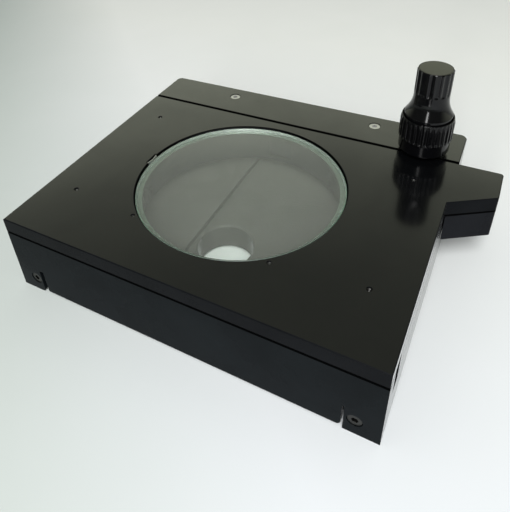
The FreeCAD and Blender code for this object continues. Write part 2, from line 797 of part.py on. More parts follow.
def make_y_rails():
    """Two rails on the base and two under the carriage, facing each other across the balls."""
    over = S["overrun"]
    fixed_top = S["y_rail_floor"] + S["y_rail_height"]
    moving_bottom = CARRIAGE_BOTTOM - S["y_rail_height"]
    for name, side in (("left", -1), ("right", 1)):
        def flip(x):
            return x if side > 0 else -x

        fixed = Piece(f"y_rail_fixed_{name}")
        fixed.pad("XZ", Y_RAIL_FRONT, Y_RAIL_BACK,
                  y_rail_profile(flip(RUNNER_FACE), flip(Y_FIXED_FACE), S["y_rail_floor"], fixed_top))
        spots = [(flip(Y_FIXED_SCREW_X), y) for y in Y_FIXED_SCREWS]
        fixed.pocket("XY", S["y_rail_floor"] - over, fixed_top + over,
                     *[Disc(spot, SMALL.hole) for spot in spots])
        fixed.pocket("XY", fixed_top - SMALL.head_height - S["head_sink"], fixed_top + over,
                     *[Disc(spot, SMALL.head + S["screw_fit"]) for spot in spots])
        moving = Piece(f"y_rail_moving_{name}")
        moving.pad("XZ", Y_MOVING_FRONT, Y_MOVING_BACK,
                   y_rail_profile(flip(Y_MOVING_INNER), flip(Y_MOVING_FACE), moving_bottom,
                                  CARRIAGE_BOTTOM))
        spots = [(flip(Y_MOVING_SCREW_X), y) for y in Y_MOVING_SCREWS]
        moving.pocket("XY", moving_bottom - over, CARRIAGE_BOTTOM + over,
                      *[Disc(spot, SMALL.hole) for spot in spots])
        moving.pocket("XY", moving_bottom - over, moving_bottom + SMALL.head_height + S["head_sink"],
                      *[Disc(spot, SMALL.head + S["screw_fit"]) for spot in spots])


def make_y_cages():
    """The balls of the Y slide and the two strips that keep them apart."""
    low = Y_MOVING_FRONT + S["y_cage_lead"]
    high = low + S["y_cage_length"]
    reach = S["y_ball_radius"] + S["cage_margin"]
    places = spread(low, high, Y_BALLS, END_SHARE)
    balls, strips = [], []
    for name, share in (("left", -1), ("right", 1)):
        middle = (Y_FIXED_FACE + Y_MOVING_FACE) / 2 * share
        for i, y in enumerate(places, start=1):
            balls.append(ball(f"y_ball_{name}_{i}", (middle, y, Y_BALL_Z), S["y_ball_radius"]))
        strip = Piece(f"y_cage_strip_{name}")
        strip.pad("YZ", middle - S["cage_thick"] / 2, middle + S["cage_thick"] / 2,
                  rectangle((low, high), (Y_BALL_Z - reach, Y_BALL_Z + reach)))
        strip.pocket("YZ", middle - S["overrun"], middle + S["overrun"],
                     *[Disc((y, Y_BALL_Z), S["y_ball_radius"] + S["running_fit"]) for y in places])
        strips.append(strip.body)
    group("y_balls", balls)
    group("y_ball_cages", strips)


def ball(name, spot, radius):
    """One ball of a slide."""
    sphere = doc.addObject("Part::Sphere", name)
    bind(sphere, "Radius", radius)
    return place(sphere, *spot)


def make_x_cages():
    """The balls of the X slide, front and rear rows, and their two strips."""
    high = S["x_cage_length"] / 2
    low = -high
    reach = S["x_ball_radius"] + S["cage_margin"]
    places = spread(low, high, X_BALLS, END_SHARE)
    rows = (
        ("front", (X_FIXED_FACE + X_MOVING_FACE) / 2, X_BALL_Z),
        ("rear", (CARRIER_BACK + REAR_RAIL_FACE) / 2, REAR_BALL_Z),
    )
    balls, strips = [], []
    for name, middle, z in rows:
        for i, x in enumerate(places, start=1):
            balls.append(ball(f"x_ball_{name}_{i}", (x, middle, z), S["x_ball_radius"]))
        strip = Piece(f"x_cage_strip_{name}")
        strip.pad("XZ", middle - S["cage_thick"] / 2, middle + S["cage_thick"] / 2,
                  rectangle((low, high), (z - reach, z + reach)))
        strip.pocket("XZ", middle - S["overrun"], middle + S["overrun"],
                     *[Disc((x, z), S["x_ball_radius"] + S["running_fit"]) for x in places])
        strips.append(strip.body)
    group("x_balls", balls)
    group("x_ball_cages", strips)


def make_carriage_frame():
    """The middle plate: light opening, channels for the X slide, pinion bore and stop slot."""
    piece = Piece("carriage_frame")
    over = S["overrun"]
    above = CARRIAGE_TOP + over
    below = CARRIAGE_BOTTOM - over
    piece.pad("XY", CARRIAGE_BOTTOM, CARRIAGE_TOP,
              rectangle((LEFT, RIGHT), (CARRIAGE_FRONT, BACK)))
    piece.fillet(S["corner_round"], upright_at((LEFT, BACK), (RIGHT, BACK)))
    half = S["x_channel_length"] / 2
    piece.pocket("XY", below, above, FlatDisc((GLASS_X, GLASS_Y), S["opening_radius"], OPENING_FLAT))
    piece.pocket("XY", X_CHANNEL_FLOOR, above,
                 rectangle((-half, half), (CARRIAGE_FRONT - over, X_CHANNEL_SIDE)))
    piece.pocket("XY", REAR_CHANNEL_FLOOR, above,
                 rectangle((-half, RIGHT + over), (REAR_CHANNEL_FRONT, REAR_RAIL_FACE)))
    piece.pocket("XY", REAR_RAIL_BOTTOM, above,
                 rectangle((X_RAIL_LEFT, S["x_rear_rail_end"]),
                           (REAR_CHANNEL_FRONT, REAR_RAIL_BACK)))
    piece.pocket("XY", REAR_CHANNEL_FLOOR, above, Disc(KNOB, PINION_BORE))
    piece.pocket("XY", below, REAR_CHANNEL_FLOOR + over,
                 Disc(KNOB, S["shaft_bush_radius"] + S["push_fit"]))
    piece.pocket("XY", below, above,
                 rectangle((NOTCH_LEFT, RIGHT + over), (NOTCH_FRONT, REAR_RAIL_FACE)))
    slot_side = S["stop_pin_radius"] + S["stop_clearance"]
    slot = rectangle((STOP_PIN[0] - slot_side, STOP_PIN[0] + slot_side),
                     (STOP_PIN[1] - S["travel_back"] - slot_side,
                      STOP_PIN[1] + S["travel_forward"] + slot_side))
    piece.pocket("XY", below, CARRIAGE_BOTTOM + S["stop_slot_depth"], slot)
    strip = [Disc((x, STRIP_SCREW_Y), BIG.hole) for x in STRIP_SCREWS]
    piece.pocket("XY", CARRIAGE_TOP - SCREW_LENGTH, above, *strip)
    front = [Disc((x, X_FIXED_SCREW_Y), TINY.hole) for x in X_FIXED_SCREWS]
    piece.pocket("XY", X_CHANNEL_FLOOR - SHORT_LENGTH, X_CHANNEL_FLOOR + over, *front)
    rear = [Disc((x, REAR_RAIL_SCREW_Y), TINY.hole) for x in REAR_RAIL_SCREWS]
    piece.pocket("XY", REAR_RAIL_BOTTOM - SHORT_LENGTH, REAR_RAIL_BOTTOM + over, *rear)
    under = [Disc((x, y), SMALL.hole) for x in (-Y_MOVING_SCREW_X, Y_MOVING_SCREW_X)
             for y in Y_MOVING_SCREWS]
    piece.pocket("XY", below, CARRIAGE_BOTTOM + SHORT_LENGTH, *under)


def make_rear_strip():
    """The bar on the back of the carriage that stays still beside the X plate."""
    piece = Piece("rear_strip")
    over = S["overrun"]
    piece.pad("XY", CARRIAGE_TOP, PLATE_TOP, rectangle((LEFT, RIGHT), (STRIP_FRONT, BACK)))
    piece.fillet(S["corner_round"], upright_at((LEFT, BACK), (RIGHT, BACK)))
    piece.chamfer(S["edge_break"], level_edges(PLATE_TOP))
    piece.pocket("XY", CARRIAGE_TOP - over, PLATE_TOP + over,
                 Disc(KNOB, S["bush_radius"] + S["push_fit"]),
                 *[Disc((x, STRIP_SCREW_Y), BIG.hole) for x in STRIP_SCREWS])
    piece.pocket("XY", PLATE_TOP - BIG.head_height - S["head_sink"], PLATE_TOP + over,
                 *[Disc((x, STRIP_SCREW_Y), BIG.recess) for x in STRIP_SCREWS])


def make_top_plate():
    """The X plate with its wing, the seat of the glass, and the tapped holes for clips."""
    piece = Piece("top_plate")
    over = S["overrun"]
    wing_tip = (WING_RIGHT, WING_END_Y)
    wing_back = (WING_RIGHT, PLATE_BACK)
    piece.pad("XY", PLATE_BOTTOM, PLATE_TOP, Outline(
        (LEFT, FRONT), (RIGHT, FRONT), (RIGHT, WING_ROOT_Y), wing_tip, wing_back,
        (LEFT, PLATE_BACK)))
    piece.fillet(S["wing_round"], upright_at(wing_tip, wing_back))
    piece.chamfer(S["edge_break"], level_edges(PLATE_TOP))
    glass = (GLASS_X, GLASS_Y)
    seat_floor = PLATE_TOP - S["glass_sink"] - S["glass_thick"]
    seat_radius = S["glass_radius"] + S["glass_play"]
    piece.pocket("XY", seat_floor, PLATE_TOP + over, Disc(glass, seat_radius))
    piece.pocket("XY", PLATE_BOTTOM - over, seat_floor + over,
                 Disc(glass, S["glass_radius"] - S["glass_ledge"]))
    left = GLASS_X - seat_radius
    half = S["spring_length"] / 2
    piece.pocket("XY", PLATE_TOP - S["glass_sink"] - S["spring_height"], PLATE_TOP + over,
                 rectangle((left - S["spring_pocket"], left + S["spring_pocket"]),
                           (GLASS_Y - half - S["glass_play"], GLASS_Y + half + S["glass_play"])))
    pitch = S["clip_hole_pitch"] / 2
    clips = [Disc((x, GLASS_Y + y), S["clip_hole_radius"])
             for x in (-S["clip_hole_side"], S["clip_hole_side"]) for y in (-pitch, pitch)]
    piece.pocket("XY", PLATE_TOP - S["clip_hole_depth"], PLATE_TOP + over, *clips)
    small = [Disc((GLASS_X + x, GLASS_Y - S["small_hole_forward"]), S["small_hole_radius"])
             for x in (-S["small_hole_side"], S["small_hole_side"])]
    piece.pocket("XY", PLATE_TOP - S["small_hole_depth"], PLATE_TOP + over, *small)
    rail = [Disc((x, X_MOVING_SCREW_Y), TINY.hole) for x in X_MOVING_SCREWS]
    carrier = [Disc((x, CARRIER_SCREW_Y), SMALL.hole) for x in CARRIER_SCREWS]
    wing = [Disc((WING_SCREW_X, y), SMALL.hole) for y in WING_SCREWS]
    piece.pocket("XY", PLATE_BOTTOM - over, PLATE_BOTTOM + SHORT_LENGTH, *rail, *carrier, *wing)


def make_glass():
    """The round glass and the leaf spring that presses on its edge."""
    top = PLATE_TOP - S["glass_sink"]
    glass = Piece("glass_disc")
    glass.pad("XY", top - S["glass_thick"], top, Disc((GLASS_X, GLASS_Y), S["glass_radius"]))
    glass.chamfer(S["edge_break"], level_edges(top))
    spring = Piece("glass_spring")
    face = GLASS_X - S["glass_radius"] - S["glass_play"]
    rest = face - S["spring_bow"]
    half = S["spring_length"] / 2
    thick = S["spring_thick"]
    spring.pad("XY", top - S["spring_height"], top, Outline(
        (rest, GLASS_Y - half), (face, GLASS_Y), (rest, GLASS_Y + half),
        (rest - thick, GLASS_Y + half), (face - thick, GLASS_Y), (rest - thick, GLASS_Y - half)))


def make_rack_carrier():
    """The bar under the back of the X plate, with the wing block that lengthens it."""
    piece = Piece("rack_carrier")
    over = S["overrun"]
    piece.pad("XY", CARRIER_BOTTOM, PLATE_BOTTOM,
              rectangle((CARRIER_LEFT, WING_RIGHT), (CARRIER_FRONT, CARRIER_BACK)))
    piece.pad("XY", CARRIAGE_BOTTOM, PLATE_BOTTOM, Outline(
        (WING_BLOCK_LEFT, WING_ROOT_Y), (WING_RIGHT, WING_END_Y), (WING_RIGHT, CARRIER_BACK),
        (WING_BLOCK_LEFT, CARRIER_BACK)))
    piece.fillet(S["wing_round"], upright_at((WING_RIGHT, WING_END_Y)))
    piece.pocket("XY", CARRIER_BOTTOM, X_RACK_TOP,
                 rectangle((X_RACK_LEFT, WING_RIGHT + over), (X_RACK_FRONT, CARRIER_BACK + over)))
    piece.pocket("YZ", CARRIER_LEFT - over, S["carrier_groove_end"], Outline(
        (CARRIER_BACK, REAR_BALL_Z - X_GROOVE), (CARRIER_BACK + over, REAR_BALL_Z - X_GROOVE),
        (CARRIER_BACK + over, REAR_BALL_Z + X_GROOVE), (CARRIER_BACK, REAR_BALL_Z + X_GROOVE),
        (CARRIER_BACK - X_GROOVE, REAR_BALL_Z)))
    spots = [(x, CARRIER_SCREW_Y) for x in CARRIER_SCREWS]
    piece.pocket("XY", CARRIER_BOTTOM - over, PLATE_BOTTOM + over,
                 *[Disc(spot, SMALL.hole) for spot in spots])
    piece.pocket("XY", CARRIER_BOTTOM - over, CARRIER_BOTTOM + SMALL.head_height + S["head_sink"],
                 *[Disc(spot, SMALL.head + S["screw_fit"]) for spot in spots])
    wing = [(WING_SCREW_X, y) for y in WING_SCREWS]
    piece.pocket("XY", CARRIAGE_BOTTOM - over, PLATE_BOTTOM + over,
                 *[Disc(spot, SMALL.hole) for spot in wing])
    piece.pocket("XY", CARRIAGE_BOTTOM - over,
                 CARRIAGE_BOTTOM + SMALL.head_height + S["head_sink"],
                 *[Disc(spot, SMALL.head + S["screw_fit"]) for spot in wing])
    rack = [Disc((x, X_RACK_SCREW_Y), TINY.hole) for x in X_RACK_SCREWS]
    piece.pocket("XY", X_RACK_TOP - over, X_RACK_TOP + SHORT_LENGTH, *rack)


def x_rail_profile(outer, face, low, high, middle):
    """The section of an X rail: a bar with a square groove in its face."""
    step = -X_GROOVE if value_of(outer) < value_of(face) else X_GROOVE
    return Outline(
        (outer, low), (face, low), (face, middle - X_GROOVE), (face + step, middle),
        (face, middle + X_GROOVE), (face, high), (outer, high))


def make_x_rails():
    """The front pair of X rails and the rear rail that faces the rack carrier."""
    over = S["overrun"]
    fixed_top = X_CHANNEL_FLOOR + S["x_rail_height"]
    moving_bottom = PLATE_BOTTOM - S["x_rail_height"]
    sink = TINY.head_height + S["head_sink"]
    fit = TINY.head + S["screw_fit"]
    rails = (
        ("x_rail_front_fixed", X_RAIL_LEFT, X_RAIL_RIGHT, CARRIAGE_FRONT, X_FIXED_FACE,
         X_CHANNEL_FLOOR, fixed_top, X_BALL_Z, X_FIXED_SCREW_Y, X_FIXED_SCREWS, True),
        ("x_rail_front_moving", X_MOVING_LEFT, X_MOVING_RIGHT, X_MOVING_INNER, X_MOVING_FACE,
         moving_bottom, PLATE_BOTTOM, X_BALL_Z, X_MOVING_SCREW_Y, X_MOVING_SCREWS, False),
        ("x_rail_rear_fixed", X_RAIL_LEFT, S["x_rear_rail_end"], REAR_RAIL_BACK, REAR_RAIL_FACE,
         REAR_RAIL_BOTTOM, CARRIAGE_TOP, REAR_BALL_Z, REAR_RAIL_SCREW_Y, REAR_RAIL_SCREWS, True),
    )
    for name, left, right, outer, face, low, high, middle, screw_y, screws, on_top in rails:
        piece = Piece(name)
        piece.pad("YZ", left, right, x_rail_profile(outer, face, low, high, middle))
        spots = [(x, screw_y) for x in screws]
        piece.pocket("XY", low - over, high + over, *[Disc(spot, TINY.hole) for spot in spots])
        heads = [Disc(spot, fit) for spot in spots]
        if on_top:
            piece.pocket("XY", high - sink, high + over, *heads)
        else:
            piece.pocket("XY", low - over, low + sink, *heads)


def tooth_space(centre, tip, along_x):
    """The outline of one gap between rack teeth, open past the tips."""
    tangent = math.tan(PRESSURE_ANGLE)
    pitch_line = tip - ADDENDUM
    middle = S["gear_module"] * (math.pi / 4) + S["tooth_play"] / 2
    root = S["gear_module"] * DEDENDUM_SHARE
    over = S["overrun"]
    wide = middle + (ADDENDUM + over) * tangent
    narrow = middle - root * tangent
    corners = ((centre - wide, tip + over), (centre - narrow, pitch_line - root),
               (centre + narrow, pitch_line - root), (centre + wide, tip + over))
    return Outline(*corners) if along_x else Outline(*[(v, u) for u, v in corners])


def cut_teeth(piece, low, high, along_x, tip, axis_place, ahead, behind):
    """Cuts a row of rack teeth in step with the pinion that stands at one place."""
    pitch = S["gear_module"] * math.pi
    spare = value_of(S["gear_module"])
    first = int((value_of(ahead) - spare) / value_of(pitch))
    last = int((value_of(behind) - spare) / value_of(pitch))
    space = tooth_space(axis_place - pitch * first, tip, along_x)
    pocket = piece.pocket("XY", low - S["overrun"], high + S["overrun"], space)
    row = piece.body.newObject("PartDesign::LinearPattern", f"{piece.body.Name}_row")
    row.Originals = [pocket]
    row.Direction = (pocket.Profile[0], ["H_Axis" if along_x else "V_Axis"])
    bind(row, "Length", pitch * (first + last))
    row.Occurrences = first + last + 1
    piece.body.Tip = row
    doc.recompute()


def make_racks():
    """The X rack on the carrier and the Y rack on the base."""
    over = S["overrun"]
    x_rack = Piece("x_rack")
    x_rack.pad("XY", X_RACK_BOTTOM, X_RACK_TOP,
               rectangle((X_RACK_LEFT, X_RACK_RIGHT), (X_RACK_FRONT, CARRIER_BACK)))
    spots = [(x, X_RACK_SCREW_Y) for x in X_RACK_SCREWS]
    x_rack.pocket("XY", X_RACK_BOTTOM - over, X_RACK_TOP + over,
                  *[Disc(spot, TINY.hole) for spot in spots])
    x_rack.pocket("XY", X_RACK_BOTTOM - over, X_RACK_BOTTOM + TINY.head_height + S["head_sink"],
                  *[Disc(spot, TINY.head + S["screw_fit"]) for spot in spots])
    cut_teeth(x_rack, X_RACK_BOTTOM, X_RACK_TOP, True, CARRIER_BACK, KNOB_X,
              S["x_rack_left"], S["x_rack_length"] - S["x_rack_left"])
    y_rack = Piece("y_rack")
    y_rack.pad("XY", S["y_rail_floor"], Y_RACK_TOP,
               rectangle((Y_RACK_LEFT, Y_RACK_TIP), (Y_RACK_FRONT, Y_RACK_BACK)))
    spots = [(Y_RACK_SCREW_X, y) for y in Y_RACK_SCREWS]
    y_rack.pocket("XY", S["y_rail_floor"] - over, Y_RACK_TOP + over,
                  *[Disc(spot, SMALL.hole) for spot in spots])
    y_rack.pocket("XY", Y_RACK_TOP - SMALL.head_height - S["head_sink"], Y_RACK_TOP + over,
                  *[Disc(spot, SMALL.head + S["screw_fit"]) for spot in spots])
    cut_teeth(y_rack, S["y_rail_floor"], Y_RACK_TOP, False, Y_RACK_TIP, KNOB_Y,
              S["y_rack_lead"], S["y_rack_length"] - S["y_rack_lead"])


def involute_spot(base, radius, start, side):
    """A point of a tooth flank: the base circle's string unwound out to one radius."""
    unwound = math.sqrt(max((radius / base) ** 2 - 1, 0))
    angle = start + side * (unwound - math.atan(unwound))
    return Vector(radius * math.cos(angle), radius * math.sin(angle), 0)


def pinion_outline():
    """The closed outline of a pinion, centred on the origin with a tooth on the X axis."""
    pitch = PITCH_RADIUS.value
    base = pitch * math.cos(PRESSURE_ANGLE)
    tip = TIP_RADIUS.value
    root = pitch - S["gear_module"].value * DEDENDUM_SHARE
    half_tooth = math.pi / (2 * PINION_TEETH) - S["tooth_play"].value / (4 * pitch)
    flank_turn = math.tan(PRESSURE_ANGLE) - PRESSURE_ANGLE
    edges = []
    for tooth in range(PINION_TEETH):
        middle = 2 * math.pi * tooth / PINION_TEETH
        flanks = []
        for side in (-1, 1):
            start = middle + side * (half_tooth + flank_turn)
            foot = Vector(root * math.cos(start), root * math.sin(start), 0)
            spots = [involute_spot(base, r, start, -side) for r in (base, (base + tip) / 2, tip)]
            flanks.append((foot, spots))
        (foot_in, rise), (foot_out, fall) = flanks
        crown = Vector(tip * math.cos(middle), tip * math.sin(middle), 0)
        gap_middle = middle + math.pi / PINION_TEETH
        valley = Vector(root * math.cos(gap_middle), root * math.sin(gap_middle), 0)
        next_foot = turn(foot_in, 2 * math.pi / PINION_TEETH)
        edges += [
            Part.LineSegment(foot_in, rise[0]),
            Part.Arc(*rise),
            Part.Arc(rise[2], crown, fall[2]),
            Part.Arc(*reversed(fall)),
            Part.LineSegment(fall[0], foot_out),
            Part.Arc(foot_out, valley, next_foot),
        ]
    return Part.Wire([edge.toShape() for edge in edges])


def turn(spot, angle):
    """A point turned about the origin."""
    return FreeCAD.Rotation(Vector(0, 0, 1), math.degrees(angle)).multVec(spot)


def make_pinion(name, bore, low, high):
    """One pinion on the knob axis: its teeth come from the involute of its base circle."""
    height = (high - low).value
    blank = Part.Face(pinion_outline()).extrude(Vector(0, 0, height))
    hole = Part.makeCylinder((bore + S["push_fit"]).value, height)
    pinion = doc.addObject("Part::Feature", name)
    pinion.Shape = blank.cut(hole)
    place(pinion, KNOB_X, KNOB_Y, low)


def turned_piece(name, corners):
    """A body turned about the knob axis from a profile of radii and heights."""
    piece = Piece(name)
    place(piece.body, KNOB_X, KNOB_Y, 0)
    sketch = piece.sketch("XZ", 0, [Outline(*corners)])
    revolution = piece.body.newObject("PartDesign::Revolution", f"{name}_turning")
    revolution.Profile = sketch
    revolution.ReferenceAxis = (sketch, ["V_Axis"])
    revolution.Angle = 360
    piece.body.Tip = revolution
    doc.recompute()
    return piece


def flute(piece, count, surface, radius, depth, low, high):
    """Cuts one flute into the rim and repeats it round the axis."""
    spot = (surface + radius - depth, 0)
    pocket = piece.pocket("XY", low, high, Disc(spot, radius))
    ring = piece.body.newObject("PartDesign::PolarPattern", f"{piece.body.Name}_ring")
    ring.Originals = [pocket]
    ring.Axis = (pocket.Profile[0], ["N_Axis"])
    ring.Angle = 360
    ring.Occurrences = count
    piece.body.Tip = ring
    doc.recompute()


LOW_KNOB_BOTTOM = PLATE_TOP + S["knob_lift"]
LOW_KNOB_TOP = LOW_KNOB_BOTTOM + S["low_knob_height"]
CUP_FLOOR = LOW_KNOB_TOP - S["low_knob_cup"]
CUP_RADIUS = S["low_knob_radius"] - S["low_knob_lip"]
SLEEVE_BORE = S["shaft_radius"] + S["running_fit"]
SLEEVE_TOP = CUP_FLOOR + S["low_knob_lip"]
TOP_KNOB_TOP = PLATE_TOP + S["top_knob_height"]
SKIRT_BOTTOM = PLATE_TOP + S["top_knob_skirt_rise"]
FLUTE_BOTTOM = TOP_KNOB_TOP - S["top_knob_fluted"]
FLARE_TOP = FLUTE_BOTTOM - S["top_knob_neck"]
CONE_TOP = FLARE_TOP - S["top_knob_flare_run"]
FLARE_BOTTOM = CONE_TOP - S["top_knob_flare_height"]
CAP_SEAT = TOP_KNOB_TOP - S["cap_thick"] + S["cap_proud"]
SHAFT_BOTTOM = Y_PINION_BOTTOM - S["stop_clearance"]
SHAFT_TOP = CAP_SEAT - S["cap_thick"]
LOW_SET_SCREW_Z = LOW_KNOB_BOTTOM + S["set_screw_height"]
TOP_SET_SCREW_Z = LOW_KNOB_TOP + S["set_screw_radius"] * 2


def make_low_knob():
    """The large knob: a fluted cup on a plain collar, fixed to the sleeve."""
    inner = S["sleeve_radius"] + S["push_fit"]
    collar = S["low_knob_collar_radius"]
    rim = S["low_knob_radius"]
    shoulder = LOW_KNOB_BOTTOM + S["low_knob_collar_height"]
    step = rim - collar
    ease = S["low_knob_ease"]
    piece = turned_piece("lower_knob", [
        (inner, LOW_KNOB_BOTTOM), (collar - ease, LOW_KNOB_BOTTOM),
        (collar, LOW_KNOB_BOTTOM + ease), (collar, shoulder), (rim, shoulder + step),
        (rim, LOW_KNOB_TOP - S["low_knob_bevel"]), (CUP_RADIUS + S["edge_break"], LOW_KNOB_TOP),
        (CUP_RADIUS, LOW_KNOB_TOP), (CUP_RADIUS, CUP_FLOOR), (inner, CUP_FLOOR)])
    flute(piece, LOW_FLUTES, rim, S["low_flute_radius"], S["low_flute_depth"],
          shoulder + step, LOW_KNOB_TOP + S["overrun"])
    piece.pocket("XZ", 0, rim + S["overrun"],
                 Disc((0, LOW_SET_SCREW_Z), S["set_screw_radius"] + S["push_fit"]))


def make_top_knob():
    """The small knob: flutes at the top, and a flared skirt that sits in the lower cup."""
    inner = S["shaft_radius"] + S["push_fit"]
    rim = S["top_knob_radius"]
    skirt = S["top_knob_skirt_radius"]
    bevel = S["top_knob_bevel"]
    piece = turned_piece("upper_knob", [
        (inner, SKIRT_BOTTOM), (skirt, SKIRT_BOTTOM), (skirt, FLARE_BOTTOM), (rim, CONE_TOP),
        (rim, TOP_KNOB_TOP - bevel), (rim - bevel, TOP_KNOB_TOP), (S["cap_radius"], TOP_KNOB_TOP),
        (S["cap_radius"], CAP_SEAT), (inner, CAP_SEAT)])
    piece.fillet(S["top_knob_skirt_ease"], hole_rim(FLARE_BOTTOM, skirt))
    piece.fillet(S["top_knob_flare_round"], hole_rim(CONE_TOP, rim))
    flute(piece, TOP_FLUTES, rim, S["top_flute_radius"], S["top_flute_depth"],
          FLUTE_BOTTOM, TOP_KNOB_TOP + S["overrun"])
    piece.pocket("XZ", 0, skirt + S["overrun"],
                 Disc((0, TOP_SET_SCREW_Z), S["set_screw_radius"] + S["push_fit"]))
    cap = turned_piece("knob_cap", [
        (0, CAP_SEAT), (S["cap_radius"] - S["push_fit"], CAP_SEAT),
        (S["cap_radius"] - S["push_fit"], TOP_KNOB_TOP),
        (S["cap_radius"] - S["cap_proud"], TOP_KNOB_TOP + S["cap_proud"] / 2),
        (0, TOP_KNOB_TOP + S["cap_proud"] / 2)])
    return piece, cap


def make_set_screw(name, shaft, z):
    """One set screw that bears on its shaft from behind."""
    start = shaft + S["push_fit"]
    body = doc.addObject("Part::Cylinder", f"{name}_rod")
    bind(body, "Radius", S["set_screw_radius"])
    bind(body, "Height", S["set_screw_length"])
    socket = doc.addObject("Part::Prism", f"{name}_socket")
    socket.Polygon = 6
    bind(socket, "Circumradius", S["set_screw_radius"] / 2)
    bind(socket, "Height", S["set_screw_length"])
    place(socket, 0, 0, S["set_screw_length"] * SOCKET_SHARE)
    screw = turned(cut(name, body, socket), Vector(1, 0, 0), -90)
    place(screw, KNOB_X, KNOB_Y + start, z)


def make_shafts():
    """The shaft, the sleeve round it, their bushes, the washer and the retaining ring."""
    groove_radius = S["shaft_radius"] - S["retainer_groove"]
    ring_bottom = (Y_PINION_TOP + CARRIAGE_BOTTOM) / 2
    ring_top = ring_bottom + S["retainer_thick"]
    fit = S["push_fit"]
    turned_piece("inner_shaft", [
        (0, SHAFT_BOTTOM), (S["shaft_radius"], SHAFT_BOTTOM), (S["shaft_radius"], ring_bottom - fit),
        (groove_radius, ring_bottom - fit), (groove_radius, ring_top + fit),
        (S["shaft_radius"], ring_top + fit), (S["shaft_radius"], SHAFT_TOP), (0, SHAFT_TOP)])
    tube("retaining_ring", KNOB, S["retainer_radius"], groove_radius + fit, ring_bottom, ring_top)
    tube("outer_sleeve", KNOB, S["sleeve_radius"], SLEEVE_BORE, X_PINION_BOTTOM, SLEEVE_TOP)
    bush_bore = S["sleeve_radius"] + S["running_fit"]
    flange_top = PLATE_TOP + S["bush_flange_height"]
    bush_bottom = X_PINION_TOP + S["plate_lift"]
    turned_piece("knob_bush", [
        (bush_bore, bush_bottom), (S["bush_radius"], bush_bottom), (S["bush_radius"], PLATE_TOP),
        (S["bush_flange_radius"], PLATE_TOP), (S["bush_flange_radius"], flange_top),
        (bush_bore, flange_top)])
    tube("thrust_washer", KNOB, S["bush_flange_radius"], bush_bore, flange_top,
         LOW_KNOB_BOTTOM - S["washer_play"])
    tube("shaft_bush", KNOB, S["shaft_bush_radius"], SLEEVE_BORE, CARRIAGE_BOTTOM,
         REAR_CHANNEL_FLOOR)


def screw_reach(thick, screw):
    """How far a shank goes on from its sunk head: through its part and a short way beyond."""
    return thick - screw.head_height - S["head_sink"] - S["head_sink"] + SHORT_LENGTH


def make_fasteners():
    """Every screw and the stop pin, each with its head sunk below the face it holds."""
    sink = S["head_sink"]
    ears = [(x, FRONT + sink, S["ear_screw_height"]) for x in (-EAR_SCREW_X, EAR_SCREW_X)]
    screw_group("apron_screws", BIG, ears,
                S["apron_thick"] - BIG.head_height - sink + SCREW_LENGTH, POINT_BACK)
    strip = [(x, STRIP_SCREW_Y, PLATE_TOP - sink) for x in STRIP_SCREWS]
    screw_group("strip_screws", BIG, strip,
                PLATE_TOP - CARRIAGE_TOP - BIG.head_height - sink + SCREW_LENGTH - sink)
    fixed_top = S["y_rail_floor"] + S["y_rail_height"]
    reach = screw_reach(S["y_rail_height"], SMALL)
    fixed = [(x, y, fixed_top - sink) for x in (-Y_FIXED_SCREW_X, Y_FIXED_SCREW_X)
             for y in Y_FIXED_SCREWS]
    screw_group("y_rail_screws", SMALL, fixed, reach)
    moving = [(x, y, CARRIAGE_BOTTOM - S["y_rail_height"] + sink)
              for x in (-Y_MOVING_SCREW_X, Y_MOVING_SCREW_X) for y in Y_MOVING_SCREWS]
    screw_group("y_moving_rail_screws", SMALL, moving, reach, POINT_UP)
    rack = [(Y_RACK_SCREW_X, y, Y_RACK_TOP - sink) for y in Y_RACK_SCREWS]
    screw_group("y_rack_screws", SMALL, rack,
                screw_reach(S["y_rack_height"], SMALL))
    front_top = X_CHANNEL_FLOOR + S["x_rail_height"]
    front = [(x, X_FIXED_SCREW_Y, front_top - sink) for x in X_FIXED_SCREWS]
    screw_group("x_front_rail_screws", TINY, front,
                screw_reach(S["x_rail_height"], TINY))
    rear = [(x, REAR_RAIL_SCREW_Y, CARRIAGE_TOP - sink) for x in REAR_RAIL_SCREWS]
    screw_group("x_rear_rail_screws", TINY, rear,
                screw_reach(S["x_rear_rail_height"], TINY))
    under = [(x, X_MOVING_SCREW_Y, PLATE_BOTTOM - S["x_rail_height"] + sink)
             for x in X_MOVING_SCREWS]
    screw_group("x_moving_rail_screws", TINY, under,
                screw_reach(S["x_rail_height"], TINY), POINT_UP)
    carrier = [(x, CARRIER_SCREW_Y, CARRIER_BOTTOM + sink) for x in CARRIER_SCREWS]
    screw_group("carrier_screws", SMALL, carrier,
                screw_reach(PLATE_BOTTOM - CARRIER_BOTTOM, SMALL), POINT_UP)
    wing = [(WING_SCREW_X, y, CARRIAGE_BOTTOM + sink) for y in WING_SCREWS]
    screw_group("wing_screws", SMALL, wing,
                screw_reach(PLATE_BOTTOM - CARRIAGE_BOTTOM, SMALL), POINT_UP)
    teeth = [(x, X_RACK_SCREW_Y, X_RACK_BOTTOM + sink) for x in X_RACK_SCREWS]
    screw_group("x_rack_screws", TINY, teeth,
                screw_reach(S["x_rack_height"], TINY), POINT_UP)
    post("y_stop_pin", STOP_PIN, S["stop_pin_radius"],
         S["runner_top"] - S["stop_pin_depth"], S["runner_top"] + S["stop_pin_rise"])


